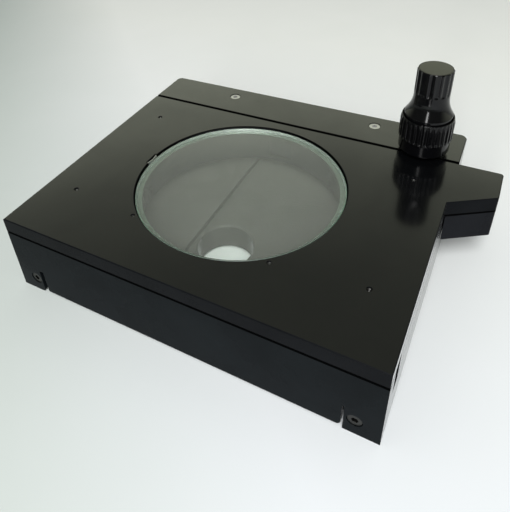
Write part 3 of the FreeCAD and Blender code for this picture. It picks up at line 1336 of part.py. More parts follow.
NODES = (
    "base_plate", "front_apron", "apron_screws", "y_rail_fixed_left", "y_rail_fixed_right",
    "y_rail_screws", "y_rack", "y_rack_screws", "y_stop_pin",
    "carriage_frame", "rear_strip", "strip_screws", "y_rail_moving_left", "y_rail_moving_right",
    "y_moving_rail_screws", "x_rail_front_fixed", "x_rail_rear_fixed", "x_front_rail_screws",
    "x_rear_rail_screws", "knob_bush", "thrust_washer", "shaft_bush",
    "top_plate", "glass_disc", "glass_spring", "rack_carrier", "carrier_screws", "wing_screws", "x_rack",
    "x_rack_screws", "x_rail_front_moving", "x_moving_rail_screws",
    "lower_knob", "lower_set_screw", "outer_sleeve", "x_pinion",
    "upper_knob", "upper_set_screw", "knob_cap", "inner_shaft", "y_pinion", "retaining_ring",
    "y_balls", "y_ball_cages", "x_balls", "x_ball_cages",
)


def build():
    """Makes every piece of the stage."""
    make_base_plate()
    make_front_apron()
    make_y_rails()
    make_y_cages()
    make_carriage_frame()
    make_rear_strip()
    make_x_rails()
    make_x_cages()
    make_top_plate()
    make_glass()
    make_rack_carrier()
    make_racks()
    make_pinion("x_pinion", S["sleeve_radius"], X_PINION_BOTTOM, X_PINION_TOP)
    make_pinion("y_pinion", S["shaft_radius"], Y_PINION_BOTTOM, Y_PINION_TOP)
    make_low_knob()
    make_top_knob()
    make_set_screw("lower_set_screw", S["sleeve_radius"], LOW_SET_SCREW_Z)
    make_set_screw("upper_set_screw", S["shaft_radius"], TOP_SET_SCREW_Z)
    make_shafts()
    make_fasteners()
    doc.recompute()


def check_and_write():
    """Stops at any failed object or bad shape, and otherwise writes one file per piece."""
    for item in doc.Objects:
        if "Invalid" in item.State or "Error" in item.State:
            raise RuntimeError(f"{item.Name} failed: {item.State}")
    os.makedirs("parts", exist_ok=True)
    for name in NODES:
        piece = doc.getObjectsByLabel(name)[0]
        if piece.Shape.isNull() or not piece.Shape.isValid():
            raise RuntimeError(f"{name} has a bad shape")
    for name in NODES:
        doc.getObjectsByLabel(name)[0].Shape.exportStep(f"parts/{name}.step")


build()
check_and_write()
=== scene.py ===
"""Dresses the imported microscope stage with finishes, turned knobs, glass and studio light.

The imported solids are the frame. Pieces whose looks need finer shapes, such as the
fluted knobs and the glass disc, are numpy surfaces that stand for their solids. All
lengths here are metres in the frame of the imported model, except the fields that end
in _mm, which are millimetres.
"""

import json
import logging
from dataclasses import dataclass
from enum import Enum
from typing import Mapping, Sequence

import bpy
import numpy as np
from mathutils import Matrix, Vector


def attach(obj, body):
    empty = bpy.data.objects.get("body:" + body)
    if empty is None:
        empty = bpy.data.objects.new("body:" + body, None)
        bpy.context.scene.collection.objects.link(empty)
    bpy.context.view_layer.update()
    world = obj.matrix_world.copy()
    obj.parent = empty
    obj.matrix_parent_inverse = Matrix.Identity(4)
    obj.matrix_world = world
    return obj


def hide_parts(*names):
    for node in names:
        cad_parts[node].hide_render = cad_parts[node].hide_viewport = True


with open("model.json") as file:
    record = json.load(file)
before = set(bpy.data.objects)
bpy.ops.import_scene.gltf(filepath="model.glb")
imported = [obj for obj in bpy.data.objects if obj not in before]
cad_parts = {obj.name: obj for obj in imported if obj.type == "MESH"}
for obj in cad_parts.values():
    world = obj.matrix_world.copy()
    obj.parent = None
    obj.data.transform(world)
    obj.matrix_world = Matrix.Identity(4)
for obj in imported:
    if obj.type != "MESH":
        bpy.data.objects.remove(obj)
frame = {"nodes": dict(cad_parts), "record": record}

LOG = logging.getLogger("microscope_stage")
MM = 0.001
Rgb = tuple[float, float, float]
Node, Socket, Material = bpy.types.Node, bpy.types.NodeSocket, bpy.types.Material
Inputs = Mapping[str, Socket]

GLASS_CENTRE_MM = (-1.4, -9.8)
APRON_TOP_MM, PLATE_BOTTOM_MM, SEAM_MM, SEAT_RADIUS_MM = 41.0, 41.5, 59.7, 60.35
CLIP_HOLES_MM = [(x, y) for x in (-86.0, 86.0) for y in (-53.55, 33.95)]
SMALL_HOLES_MM = [(-41.8, -58.2), (39.0, -58.2)]
DUST_COLOUR: Rgb = (0.42, 0.42, 0.4)
BUMP_DEPTH_MM = 0.05


class Texture(Enum):
    """How the surface of a metal or plastic was left by its last process."""

    BLASTED = "blasted"
    TURNED = "turned"
    GROUND = "ground"
    MOULDED = "moulded"


class Part(Enum):
    """The bodies that the new pieces ride on."""

    PLATE = "x_plate"
    X_DRIVE = "x_drive"
    Y_DRIVE = "y_drive"


# ---------------------------------------------------------------- node helpers


class NodeSheet:
    """A short way to write a node tree: adds nodes and links their sockets."""

    SETTINGS = ("operation", "data_type", "blend_type", "samples", "node_tree")

    def __init__(self, tree: bpy.types.NodeTree) -> None:
        """Takes the tree that the nodes go into."""
        self.tree = tree
        self.count = 0

    def add(self, kind: str, **inputs: object) -> Node:
        """Adds a node and fills or links its inputs.

        Args:
            kind: The node's type, without its ShaderNode prefix.
            inputs: Values or sockets by input name, with _ for a space, or settings
                of the node itself where it has no such input.

        Returns:
            The new node.
        """
        node = self.tree.nodes.new(kind if kind.startswith("Node") else "ShaderNode" + kind)
        node.location = (180 * (self.count % 12), -220 * (self.count // 12))
        self.count += 1
        for name, value in inputs.items():
            if name in self.SETTINGS:
                setattr(node, name, value)
            else:
                self.feed(node, name, value)
        return node

    def feed(self, node: Node, name: str, value: object) -> None:
        """Links or sets one input, found by its name or, as i0 or i1, by its place.

        Args:
            node: The node that has the input.
            name: The input's name with _ for a space, or i and its number.
            value: A socket to link, or a plain value.
        """
        if name[0] == "i" and name[1:].isdigit():
            socket = node.inputs[int(name[1:])]
        else:
            wanted = name.replace("_", " ").lower()
            socket = next(s for s in node.inputs if s.name.lower() == wanted)
        if isinstance(value, Socket):
            self.tree.links.new(value, socket)
        else:
            socket.default_value = value

    def maths(self, operation: str, first: object, second: object = 0.0) -> Socket:
        """Adds one Math node and gives its result."""
        return self.add("Math", operation=operation, i0=first, i1=second).outputs[0]

    def times(self, first: object, *others: object) -> Socket:
        """Multiplies values or sockets one after another."""
        for other in others:
            first = self.maths("MULTIPLY", first, other)
        return first

    def blend(self, share: object, first: object, second: object, kind: str = "MIX") -> Socket:
        """Mixes two colours by a share and gives the result.

        Args:
            share: The second colour's share, a value or socket.
            first: The first colour, a value or socket.
            second: The second colour, a value or socket.
            kind: How the second colour goes over the first.

        Returns:
            The mixed colour's socket.
        """
        node = self.add("Mix", data_type="RGBA", blend_type=kind)
        for place, value in ((0, share), (6, first), (7, second)):
            self.feed(node, f"i{place}", value)
        return node.outputs[2]

    def ramp(self, value: object, *stops: tuple[float, float]) -> Socket:
        """Maps a value through straight grey steps.

        Args:
            value: The value or socket to map.
            stops: Pairs of a place and the grey there, in order.

        Returns:
            The mapped grey's socket.
        """
        node = self.add("ValToRGB", i0=value)
        points = node.color_ramp.elements
        while len(points) < len(stops):
            points.new(1.0)
        for point, (spot, grey) in zip(points, stops):
            point.position = spot
            point.color = (grey, grey, grey, 1.0)
        return node.outputs[0]

    def spot(self) -> Socket:
        """The shaded spot in the object's own coordinates."""
        return self.add("TexCoord").outputs["Object"]

    def noise(self, spot: object, scale: object, detail: float, **more: float) -> Socket:
        """Adds a noise texture and gives its grey."""
        return self.add("TexNoise", vector=spot, scale=scale, detail=detail, **more).outputs[0]

    def upward(self, low: float, high: float) -> Socket:
        """A mask that rises between two values of the normal's upward part."""
        normal = self.add("NewGeometry").outputs["Normal"]
        return self.ramp(self.add("SeparateXYZ", i0=normal).outputs[2], (low, 0.0), (high, 1.0))

    def plan_length(self, vector: Socket) -> Socket:
        """How long a vector is when it is seen from above."""
        flat = self.add("VectorMath", operation="MULTIPLY", i0=vector, i1=(1.0, 1.0, 0.0))
        return self.add("VectorMath", operation="LENGTH", i0=flat.outputs[0]).outputs["Value"]


def rgba(colour: Rgb, lift: float = 1.0) -> tuple[float, float, float, float]:
    """The colour times lift, with an alpha of one."""
    return (colour[0] * lift, colour[1] * lift, colour[2] * lift, 1.0)


class EffectGroup:
    """A shader node group with named inputs and outputs, built once."""

    name = "effect"
    inputs: Sequence[tuple[str, str, object]] = ()
    outputs: Sequence[tuple[str, str]] = ()

    def tree(self) -> bpy.types.NodeTree:
        """The group's tree, made on first use.

        Returns:
            The shader node tree of the group.
        """
        made = bpy.data.node_groups.get(self.name)
        if made:
            return made
        made = bpy.data.node_groups.new(self.name, "ShaderNodeTree")
        for label, kind, value in self.inputs:
            socket = made.interface.new_socket(label, in_out="INPUT", socket_type=kind)
            socket.default_value = value
        for label, kind in self.outputs:
            made.interface.new_socket(label, in_out="OUTPUT", socket_type=kind)
        sheet = NodeSheet(made)
        given, result = sheet.add("NodeGroupInput"), sheet.add("NodeGroupOutput")
        for (label, _), value in zip(self.outputs, self.draw(sheet, given.outputs)):
            sheet.feed(result, label, value)
        return made

    def draw(self, sheet: NodeSheet, given: Inputs) -> list[Socket]:
        """Draws the group's nodes.

        Args:
            sheet: The group's node sheet.
            given: The group's inputs by name.

        Returns:
            One socket for each output of the group, in order.
        """
        raise NotImplementedError

    def place(self, sheet: NodeSheet, **inputs: object) -> Node:
        """Puts the group into a material.

        Args:
            sheet: The material's node sheet.
            inputs: Values or sockets by input name, with _ for a space.

        Returns:
            The group node.
        """
        node = sheet.add("Group", node_tree=self.tree())
        for label, value in inputs.items():
            sheet.feed(node, label, value)
        return node


FLOAT, COLOUR, VECTOR = "NodeSocketFloat", "NodeSocketColor", "NodeSocketVector"


class GrainGroup(EffectGroup):
    """Fine grain, cloudy patches and a height for the bump of a finished surface."""

    name = "surface_grain"
    inputs = (
        ("Grain Scale", FLOAT, 1500.0), ("Patch Scale", FLOAT, 30.0),
        ("Stretch", VECTOR, (1.0, 1.0, 1.0)), ("Colour", COLOUR, (0.01, 0.01, 0.01, 1.0)),
        ("Patch Colour", COLOUR, (0.02, 0.02, 0.02, 1.0)), ("Roughness", FLOAT, 0.4),
        ("Swing", FLOAT, 0.1))
    outputs = (("Colour", COLOUR), ("Roughness", FLOAT), ("Height", FLOAT))

    def draw(self, sheet: NodeSheet, given: Inputs) -> list[Socket]:
        """Patches are low noise, grain is fine noise, and the roughness swings with both."""
        spot = sheet.spot()
        along = sheet.add("VectorMath", operation="MULTIPLY", i0=spot, i1=given["Stretch"])
        fine = sheet.noise(along.outputs[0], given["Grain Scale"], 3.0, roughness=0.6)
        broad = sheet.noise(spot, given["Patch Scale"], 4.0, roughness=0.55,
                            distortion=0.4)
        cloud = sheet.ramp(broad, (0.32, 0.0), (0.72, 1.0))
        mixed = sheet.maths("ADD", sheet.times(cloud, 0.7), sheet.times(fine, 0.3))
        colour = sheet.blend(mixed, given["Colour"], given["Patch Colour"])
        swing = sheet.times(sheet.maths("SUBTRACT", mixed, 0.5), given["Swing"])
        return [colour, sheet.maths("ADD", given["Roughness"], swing), fine]


class WearGroup(EffectGroup):
    """A mask of edges that handling has rubbed, and of short scratches."""

    name = "edge_wear"
    inputs = (("Width", FLOAT, 0.0006), ("Edge Amount", FLOAT, 0.5),
              ("Scratch Amount", FLOAT, 0.1))
    outputs = (("Mask", FLOAT), ("Normal", VECTOR))

    def draw(self, sheet: NodeSheet, given: Inputs) -> list[Socket]:
        """An edge is where the rounded normal leaves the true one. Noise breaks it up."""
        rounded = sheet.add("Bevel", samples=6, radius=given["Width"]).outputs[0]
        true = sheet.add("NewGeometry").outputs["Normal"]
        facing = sheet.add("VectorMath", operation="DOT_PRODUCT", i0=rounded, i1=true)
        lean = sheet.maths("SUBTRACT", 1.0, facing.outputs["Value"])
        edge = sheet.ramp(lean, (0.02, 0.0), (0.22, 1.0))
        spot = sheet.spot()
        broken = sheet.ramp(sheet.noise(spot, 260.0, 4.0, roughness=0.7), (0.38, 0.0),
                            (0.66, 1.0))
        rubbed = sheet.times(edge, broken, given["Edge Amount"])
        streak = sheet.add("VectorMath", operation="MULTIPLY", i0=spot, i1=(60.0, 900.0, 900.0))
        lines = sheet.ramp(sheet.noise(streak.outputs[0], 1.0, 2.0), (0.70, 0.0), (0.76, 1.0))
        scratched = sheet.times(lines, given["Scratch Amount"])
        return [sheet.maths("MAXIMUM", rubbed, scratched), rounded]


class PolishGroup(EffectGroup):
    """A mask of level faces, which hands and cloths have polished."""

    name = "level_face_polish"
    inputs = (("Amount", FLOAT, 1.0), ("Smudge", FLOAT, 0.15))
    outputs = (("Mask", FLOAT),)

    def draw(self, sheet: NodeSheet, given: Inputs) -> list[Socket]:
        """The mask is full where the normal points up, less broad smudges."""
        level = sheet.upward(0.85, 0.97)
        smudge = sheet.ramp(sheet.noise(sheet.spot(), 22.0, 5.0, roughness=0.6, distortion=0.8),
                            (0.35, 0.0), (0.7, 1.0))
        dull = sheet.maths("SUBTRACT", 1.0, sheet.times(smudge, given["Smudge"]))
        return [sheet.times(level, dull, given["Amount"])]


class DustGroup(EffectGroup):
    """A mask of small specks of dust that lie on faces that look upwards."""

    name = "settled_dust"
    inputs = (("Scale", FLOAT, 420.0), ("Amount", FLOAT, 0.2))
    outputs = (("Mask", FLOAT),)

    def draw(self, sheet: NodeSheet, given: Inputs) -> list[Socket]:
        """Specks are the middles of Voronoi cells, thinned by noise, where normals point up."""
        spot = sheet.spot()
        cells = sheet.add("TexVoronoi", vector=spot, scale=given["Scale"], randomness=1.0)
        speck = sheet.ramp(cells.outputs["Distance"], (0.05, 1.0), (0.11, 0.0))
        thin = sheet.ramp(sheet.noise(spot, 150.0, 1.0), (0.56, 0.0), (0.60, 1.0))
        level = sheet.upward(0.8, 0.95)
        return [sheet.times(speck, thin, level, given["Amount"])]


class LitFloorGroup(EffectGroup):
    """A mask of the well under the glass, where painted light makes the base's floor paler."""

    name = "well_floor_painted_light"
    inputs = (("Reach", FLOAT, 0.07), ("Amount", FLOAT, 1.0))
    outputs = (("Mask", FLOAT),)

    def draw(self, sheet: NodeSheet, given: Inputs) -> list[Socket]:
        """The mask is full nearer the glass's axis than the reach, less broad clouds."""
        spot = sheet.spot()
        share = sheet.maths("DIVIDE", sheet.plan_length(spot), given["Reach"])
        inside = sheet.ramp(share, (0.9, 1.0), (1.0, 0.0))
        cloud = sheet.ramp(sheet.noise(spot, 18.0, 4.0), (0.3, 0.8), (0.7, 1.0))
        return [sheet.times(inside, cloud, given["Amount"])]


class GapShadeGroup(EffectGroup):
    """A mask of painted shade in the gaps where pieces meet: at a height, a seam and a round seat.
    """

    name = "gap_shade_line"
    inputs = (("Height", FLOAT, 1.0), ("Seam", FLOAT, 1.0), ("Seat Middle", VECTOR, (0, 0, 0)),
              ("Seat Radius", FLOAT, 1.0), ("Reach", FLOAT, 0.0007))
    outputs = (("Mask", FLOAT),)
    seam_reach = 2.2
    seat_reach = 1.14

    def line(self, sheet: NodeSheet, place: object, middle: object, reach: object) -> Socket:
        """One line: full at its middle, and nothing at the reach."""
        away = sheet.maths("ABSOLUTE", sheet.maths("SUBTRACT", place, middle))
        return sheet.ramp(sheet.maths("DIVIDE", away, reach), (0.7, 1.0), (1.0, 0.0))

    def draw(self, sheet: NodeSheet, given: Inputs) -> list[Socket]:
        """The mask is the greatest of the three lines."""
        reach = given["Reach"]
        spot = sheet.spot()
        axes = sheet.add("SeparateXYZ", i0=spot)
        off = sheet.add("VectorMath", operation="SUBTRACT", i0=spot,
                        i1=given["Seat Middle"])
        level = self.line(sheet, axes.outputs[2], given["Height"], reach)
        seam = self.line(sheet, axes.outputs[1], given["Seam"],
                         sheet.times(reach, self.seam_reach))
        seat = self.line(sheet, sheet.plan_length(off.outputs[0]), given["Seat Radius"],
                         sheet.times(reach, self.seat_reach))
        return [sheet.maths("MAXIMUM", level, sheet.maths("MAXIMUM", seam, seat))]


GRAIN, WEAR, DUST, POLISH = GrainGroup(), WearGroup(), DustGroup(), PolishGroup()
WELL_LIGHT, GAP_SHADE = LitFloorGroup(), GapShadeGroup()


class Look:
    """A node material that is drawn once and then found by its name."""

    name: str

    def material(self) -> Material:
        """The look as a node material, made on first use.

        Returns:
            The material.
        """
        made = bpy.data.materials.get(self.name)
        if not made:
            made = bpy.data.materials.new(self.name)
            made.use_nodes = True
            made.node_tree.nodes.clear()
            self.draw(NodeSheet(made.node_tree))
        return made

    def draw(self, sheet: NodeSheet) -> None:
        """Draws the material's nodes onto its sheet."""
        raise NotImplementedError


# ---------------------------------------------------------------- finishes


@dataclass(frozen=True)
class GapShades:
    """Where a piece meets its neighbours, and the painted shade in the gaps there. A place
    that is far away makes no line.

    The seat's line is a circle shifted a little to the back left of the glass's axis, so its
    painted shade shows round the back left of the glass.
    """

    height_mm: float = 1000.0
    seam_mm: float = 1000.0
    seat_mm: float = 1000.0
    seat_middle_mm: tuple[float, float] = (-1.79, -9.16)
    reach_mm: float = 0.7

    def mask(self, sheet: NodeSheet) -> Socket:
        """The mask of the painted gap shade, placed into a material.

        Args:
            sheet: The material's node sheet.

        Returns:
            The mask's socket.
        """
        x, y = self.seat_middle_mm
        lines = GAP_SHADE.place(sheet, Height=self.height_mm * MM, Seam=self.seam_mm * MM,
                            Seat_Middle=(x * MM, y * MM, 0.0), Seat_Radius=self.seat_mm * MM,
                            Reach=self.reach_mm * MM)
        return lines.outputs["Mask"]


@dataclass(frozen=True)
class Finish(Look):
    """One finish: the colours, gloss and surface texture of a material."""

    name: str
    colour: Rgb
    patch: Rgb
    worn: Rgb
    texture: Texture = Texture.BLASTED
    metallic: float = 0.0
    roughness: float = 0.4
    swing: float = 0.1
    specular: float = 0.5
    coat: float = 0.0
    coat_roughness: float = 0.12
    coat_ior: float = 1.5
    level_coat: bool = False
    deep_share: float = 0.4
    grain_scale: float = 1500.0
    patch_scale: float = 30.0
    bump: float = 0.06
    edge_width_mm: float = 0.35
    edge_amount: float = 0.5
    scratch_amount: float = 0.04
    dust: float = 0.12
    well: Rgb | None = None
    well_reach_mm: float = 80.0
    joints: GapShades | None = None

    def stretch(self) -> tuple[float, float, float]:
        """How the grain is drawn out along each axis by the process that left it."""
        return {
            Texture.BLASTED: (1.0, 1.0, 1.0),
            Texture.TURNED: (1.0, 1.0, 6.0),
            Texture.GROUND: (0.08, 1.0, 1.0),
            Texture.MOULDED: (1.0, 1.0, 0.6),
        }[self.texture]

    def draw(self, sheet: NodeSheet) -> None:
        """Lays wear, dust, painted light in the well, painted shade in the gaps and a coat over
        the grained skin.
        """
        grain = GRAIN.place(sheet, Grain_Scale=self.grain_scale, Patch_Scale=self.patch_scale,
                            Stretch=self.stretch(), Colour=rgba(self.colour),
                            Patch_Colour=rgba(self.patch), Roughness=self.roughness,
                            Swing=self.swing)
        wear = WEAR.place(sheet, Width=self.edge_width_mm * MM, Edge_Amount=self.edge_amount,
                          Scratch_Amount=self.scratch_amount)
        dust = DUST.place(sheet, Amount=self.dust)
        skin = grain.outputs["Colour"]
        # Painted light: the base's floor under the glass is painted a paler grey.
        if self.well:
            well = WELL_LIGHT.place(sheet, Reach=self.well_reach_mm * MM)
            skin = sheet.blend(well.outputs["Mask"], skin, rgba(self.well))
        rubbed = sheet.blend(wear.outputs["Mask"], skin, rgba(self.worn))
        colour = sheet.blend(dust.outputs["Mask"], rubbed, rgba(DUST_COLOUR))
        relief = sheet.add("Bump", strength=self.bump, distance=BUMP_DEPTH_MM * MM,
                           height=grain.outputs["Height"], normal=wear.outputs["Normal"])
        coat, roughness, line = self.coat, grain.outputs["Roughness"], None
        # Painted shade: the gaps between pieces are painted black and lose their gloss and coat.
        if self.joints:
            line = self.joints.mask(sheet)
            colour = sheet.blend(line, colour, rgba((0.0, 0.0, 0.0)))
            roughness = sheet.maths("MAXIMUM", roughness, line)
        if self.level_coat:
            level = POLISH.place(sheet, Amount=self.coat).outputs["Mask"]
            colour = sheet.blend(level, colour, rgba(self.colour, self.deep_share))
            slanting = sheet.ramp(sheet.add("LayerWeight").outputs["Facing"], (0.6, 0.0),
                                  (0.86, 1.0))
            coat = sheet.maths("MAXIMUM", level, slanting)
        if line:
            coat = sheet.times(coat, sheet.maths("SUBTRACT", 1.0, line))
        shader = sheet.add("BsdfPrincipled", base_color=colour, metallic=self.metallic,
                           roughness=roughness, specular_ior_level=self.specular,
                           coat_weight=coat, coat_roughness=self.coat_roughness,
                           coat_ior=self.coat_ior, normal=relief.outputs[0])
        sheet.add("OutputMaterial", surface=shader.outputs[0])


@dataclass(frozen=True)
class GlassFinish(Look):
    """Clear or ground glass that lets lamps through to what is under it."""

    name: str
    tint: Rgb
    roughness: float
    ior: float = 1.52
    clear: float = 0.95
    passes_light: float = 0.86

    def draw(self, sheet: NodeSheet) -> None:
        """Draws glass that shadow rays pass as if it were clear."""
        grain = GRAIN.place(sheet, Grain_Scale=900.0, Patch_Scale=45.0, Colour=rgba(self.tint),
                            Patch_Colour=rgba(self.tint, 0.97), Roughness=self.roughness,
                            Swing=self.roughness * 0.4)
        shader = sheet.add("BsdfPrincipled", base_color=grain.outputs["Colour"],
                           roughness=grain.outputs["Roughness"],
                           transmission_weight=self.clear, ior=self.ior)
        clear = sheet.add("BsdfTransparent", color=rgba(self.tint, self.passes_light))
        rays = sheet.add("LightPath")
        mixed = sheet.add("MixShader", i0=rays.outputs["Is Shadow Ray"], i1=shader.outputs[0],
                          i2=clear.outputs[0])
        sheet.add("OutputMaterial", surface=mixed.outputs[0])


def black_anodised(name: str, tint: Rgb, **changes: object) -> Finish:
    """Blasted aluminium with a black anodised skin.

    Args:
        name: The finish's name.
        tint: Its base colour.
        changes: Fields that differ from the usual black skin.

    Returns:
        The finish.
    """
    patch = tuple(1.7 * share for share in tint)
    fields = dict(patch=patch, worn=(0.05, 0.05, 0.048), roughness=0.28, specular=0.06,
                  bump=0.1, coat=1.0, coat_roughness=0.2, level_coat=True, edge_amount=0.35)
    fields.update(changes)
    return Finish(name, tint, **fields)


def bare_metal(name: str, colour: Rgb, texture: Texture, roughness: float) -> Finish:
    """Uncoated metal.

    Args:
        name: The finish's name.
        colour: Its base colour.
        texture: How it was worked.
        roughness: Its mean roughness.

    Returns:
        The finish.
    """
    return Finish(name, colour, tuple(0.8 * share for share in colour),
                  tuple(min(1.0, 1.2 * share) for share in colour), texture, metallic=1.0,
                  roughness=roughness, grain_scale=900.0, bump=0.08, dust=0.05)


def glossy_black(name: str, roughness: float) -> Finish:
    """Black moulded plastic with a handled gloss.

    Args:
        name: The finish's name.
        roughness: Its mean roughness.

    Returns:
        The finish.
    """
    return Finish(name, (0.0015, 0.0015, 0.002), (0.0035, 0.0035, 0.004), (0.02, 0.02, 0.02),
                  Texture.MOULDED, roughness=roughness, swing=0.08, specular=0.27,
                  grain_scale=700.0, bump=0.05, edge_amount=0.1, dust=0.2)


FINISHES: dict[str, Finish] = {
    # The base's well colour is painted light under the glass.
    "black_base": black_anodised("base_black_anodised", (0.0055, 0.0060, 0.0068), coat=0.0,
                                 well=(0.076, 0.077, 0.067)),
    "black_apron": black_anodised("apron_black_anodised", (0.0056, 0.0070, 0.0080),
                                  specular=0.02, joints=GapShades(APRON_TOP_MM)),
    "black_frame": black_anodised("carriage_black_anodised", (0.0055, 0.0060, 0.0064)),
    "black_strip": black_anodised("strip_black_anodised", (0.0055, 0.0060, 0.0055),
                                  coat_roughness=0.22, coat_ior=1.7,
                                  joints=GapShades(seam_mm=SEAM_MM)),
    "black_plate": black_anodised("plate_black_anodised", (0.0045, 0.0050, 0.0058),
                                  coat_roughness=0.13, coat_ior=1.65, specular=0.025,
                                  joints=GapShades(PLATE_BOTTOM_MM, SEAM_MM, SEAT_RADIUS_MM)),
    "black_carrier": black_anodised("carrier_black_anodised", (0.0050, 0.0056, 0.0072),
                                    joints=GapShades(PLATE_BOTTOM_MM)),
    "spring_steel": bare_metal("spring_steel", (0.55, 0.55, 0.53), Texture.GROUND, 0.25),
    "apron_screw_steel": bare_metal("ear_screw_steel", (0.05, 0.05, 0.047), Texture.TURNED, 0.4),
    "strip_screw_steel": bare_metal("strip_screw_steel", (0.72, 0.72, 0.70), Texture.TURNED, 0.3),
    "screw_steel": bare_metal("black_oxide_screw_steel", (0.12, 0.12, 0.12), Texture.TURNED, 0.4),
    "rail_steel": bare_metal("ground_rail_steel", (0.50, 0.50, 0.49), Texture.GROUND, 0.22),
    "gear_steel": bare_metal("gear_steel", (0.42, 0.42, 0.41), Texture.GROUND, 0.32),
    "shaft_steel": bare_metal("shaft_steel", (0.55, 0.55, 0.54), Texture.TURNED, 0.2),
    "ball_steel": bare_metal("ball_steel", (0.66, 0.66, 0.66), Texture.TURNED, 0.08),
    "bush_brass": bare_metal("bush_brass", (0.62, 0.43, 0.16), Texture.TURNED, 0.25),
    "gear_brass": bare_metal("gear_brass", (0.60, 0.41, 0.15), Texture.TURNED, 0.28),
    "cage_brass": bare_metal("cage_brass", (0.60, 0.42, 0.18), Texture.GROUND, 0.3),
    "lower_knob_black": glossy_black("lower_knob_plastic", 0.16),
    "upper_knob_black": glossy_black("upper_knob_plastic", 0.13),
    "cap_olive": Finish("knob_cap_olive", (0.036, 0.037, 0.025), (0.050, 0.051, 0.036),
                        (0.16, 0.16, 0.14), Texture.MOULDED, roughness=0.5, swing=0.12,
                        grain_scale=1200.0, bump=0.15, edge_amount=0.2),
    "washer_plastic": Finish("washer_plastic", (0.09, 0.07, 0.05), (0.12, 0.10, 0.07),
                             (0.15, 0.13, 0.1), Texture.MOULDED, roughness=0.45,
                             grain_scale=900.0, bump=0.1),
}
BARE_ALUMINIUM = bare_metal("bare_aluminium_thread", (0.13, 0.13, 0.125), Texture.TURNED, 0.3)
POLISHED_GLASS = GlassFinish("stage_glass_polished", (0.93, 0.965, 0.935), 0.015, clear=0.965)
GROUND_GLASS = GlassFinish("stage_glass_ground_edge", (0.42, 0.60, 0.50), 0.35, clear=0.85)
SEATED_GLASS = GlassFinish("stage_glass_seated_rim", (0.60, 0.78, 0.64), 0.06, clear=0.86)
UPRIGHT_GLASS = GlassFinish("stage_glass_upright_edge", (0.12, 0.19, 0.15), 0.4, clear=0.6)

# ---------------------------------------------------------------- surfaces


def eased_profile(corners: np.ndarray, reach: np.ndarray, steps: int = 9,
                  spacing: float = 0.6) -> np.ndarray:
    """Rounds a profile's corners and spaces its points evenly enough for flutes.

    Corner P becomes (1-t)^2 A + 2t(1-t) P + t^2 B, where A and B lie on its two sides
    at the corner's reach. Straight runs then get a point every spacing.

    Args:
        corners: The closed profile's corners as rows of radius and height.
        reach: For each corner, how far its rounding reaches along each side.
        steps: Points on each rounding.
        spacing: The longest step along the profile.

    Returns:
        Rows of radius and height round the closed profile, the first not repeated.
    """
    before = np.roll(corners, 1, axis=0) - corners
    after = np.roll(corners, -1, axis=0) - corners
    side_a = corners + before * (reach / np.linalg.norm(before, axis=1))[:, None]
    side_b = corners + after * (reach / np.linalg.norm(after, axis=1))[:, None]
    t = np.linspace(0.0, 1.0, steps)[None, :, None]
    curve = ((1 - t) ** 2 * side_a[:, None] + 2 * t * (1 - t) * corners[:, None]
             + t ** 2 * side_b[:, None]).reshape(-1, 2)
    ring = np.vstack([curve, curve[:1]])
    walked = np.concatenate([[0.0], np.cumsum(np.linalg.norm(np.diff(ring, axis=0), axis=1))])
    keep = np.concatenate([[True], np.diff(walked) > 1e-7])
    ring, walked = ring[keep], walked[keep]
    stations = np.unique(np.round(np.concatenate(
        [walked, np.arange(0.0, walked[-1], spacing)]), 6))
    stations = stations[np.concatenate([[True], np.diff(stations) > 0.02])]
    stations = stations[stations < walked[-1] - 0.02]
    return np.column_stack([np.interp(stations, walked, ring[:, k]) for k in (0, 1)])


def grid_quads(rows: int, columns: int, wrap_rows: bool, wrap_columns: bool) -> np.ndarray:
    """The quads of a grid of points, as indices row by row.

    Quad (r, c) joins points (r, c), (r, c+1), (r+1, c+1) and (r+1, c), and a wrapped
    direction joins its last line to its first.

    Args:
        rows: Lines of points.
        columns: Points on each line.
        wrap_rows: Whether the last line joins the first.
        wrap_columns: Whether each line closes on itself.

    Returns:
        The quads, one row of four indices each.
    """
    r = np.arange(rows if wrap_rows else rows - 1)[:, None]
    c = np.arange(columns if wrap_columns else columns - 1)[None, :]
    below, right = (r + 1) % rows, (c + 1) % columns
    return np.stack([r * columns + c, r * columns + right, below * columns + right,
                     below * columns + c], axis=-1).reshape(-1, 4)


def soft_least(first: np.ndarray, second: np.ndarray, blend: float) -> np.ndarray:
    """The smaller of two values with a rounded corner.

    It is min(a, b) - k/4 * max(1 - |a-b|/k, 0)^2, with k the blend width.

    Args:
        first: One array.
        second: The other, of a shape that fits.
        blend: How wide the rounding is.

    Returns:
        The rounded lesser value.
    """
    near_by = np.maximum(1.0 - np.abs(first - second) / blend, 0.0)
    return np.minimum(first, second) - 0.25 * blend * near_by ** 2


def make_piece(name: str, points_mm: np.ndarray, faces: Sequence[Sequence[int]],
               materials: Sequence[Material],
               which: np.ndarray | None = None) -> bpy.types.Object:
    """Puts points and faces into a smooth mesh object at the origin.

    Args:
        name: The piece's name.
        points_mm: Its points in millimetres.
        faces: Its faces as indices, seen anticlockwise from outside.
        materials: Its materials in slot order.
        which: For each face, the number of its material, or None for the first.

    Returns:
        The object, linked to the scene.
    """
    mesh = bpy.data.meshes.new(name)
    mesh.from_pydata(points_mm * MM, [], faces)
    for material in materials:
        mesh.materials.append(material)
    if which is not None:
        mesh.polygons.foreach_set("material_index", which.astype(np.int32))
    mesh.shade_smooth()
    mesh.validate()
    mesh.update()
    piece = bpy.data.objects.new(name, mesh)
    bpy.context.scene.collection.objects.link(piece)
    LOG.info("%s: %d faces", name, len(mesh.polygons))
    return piece


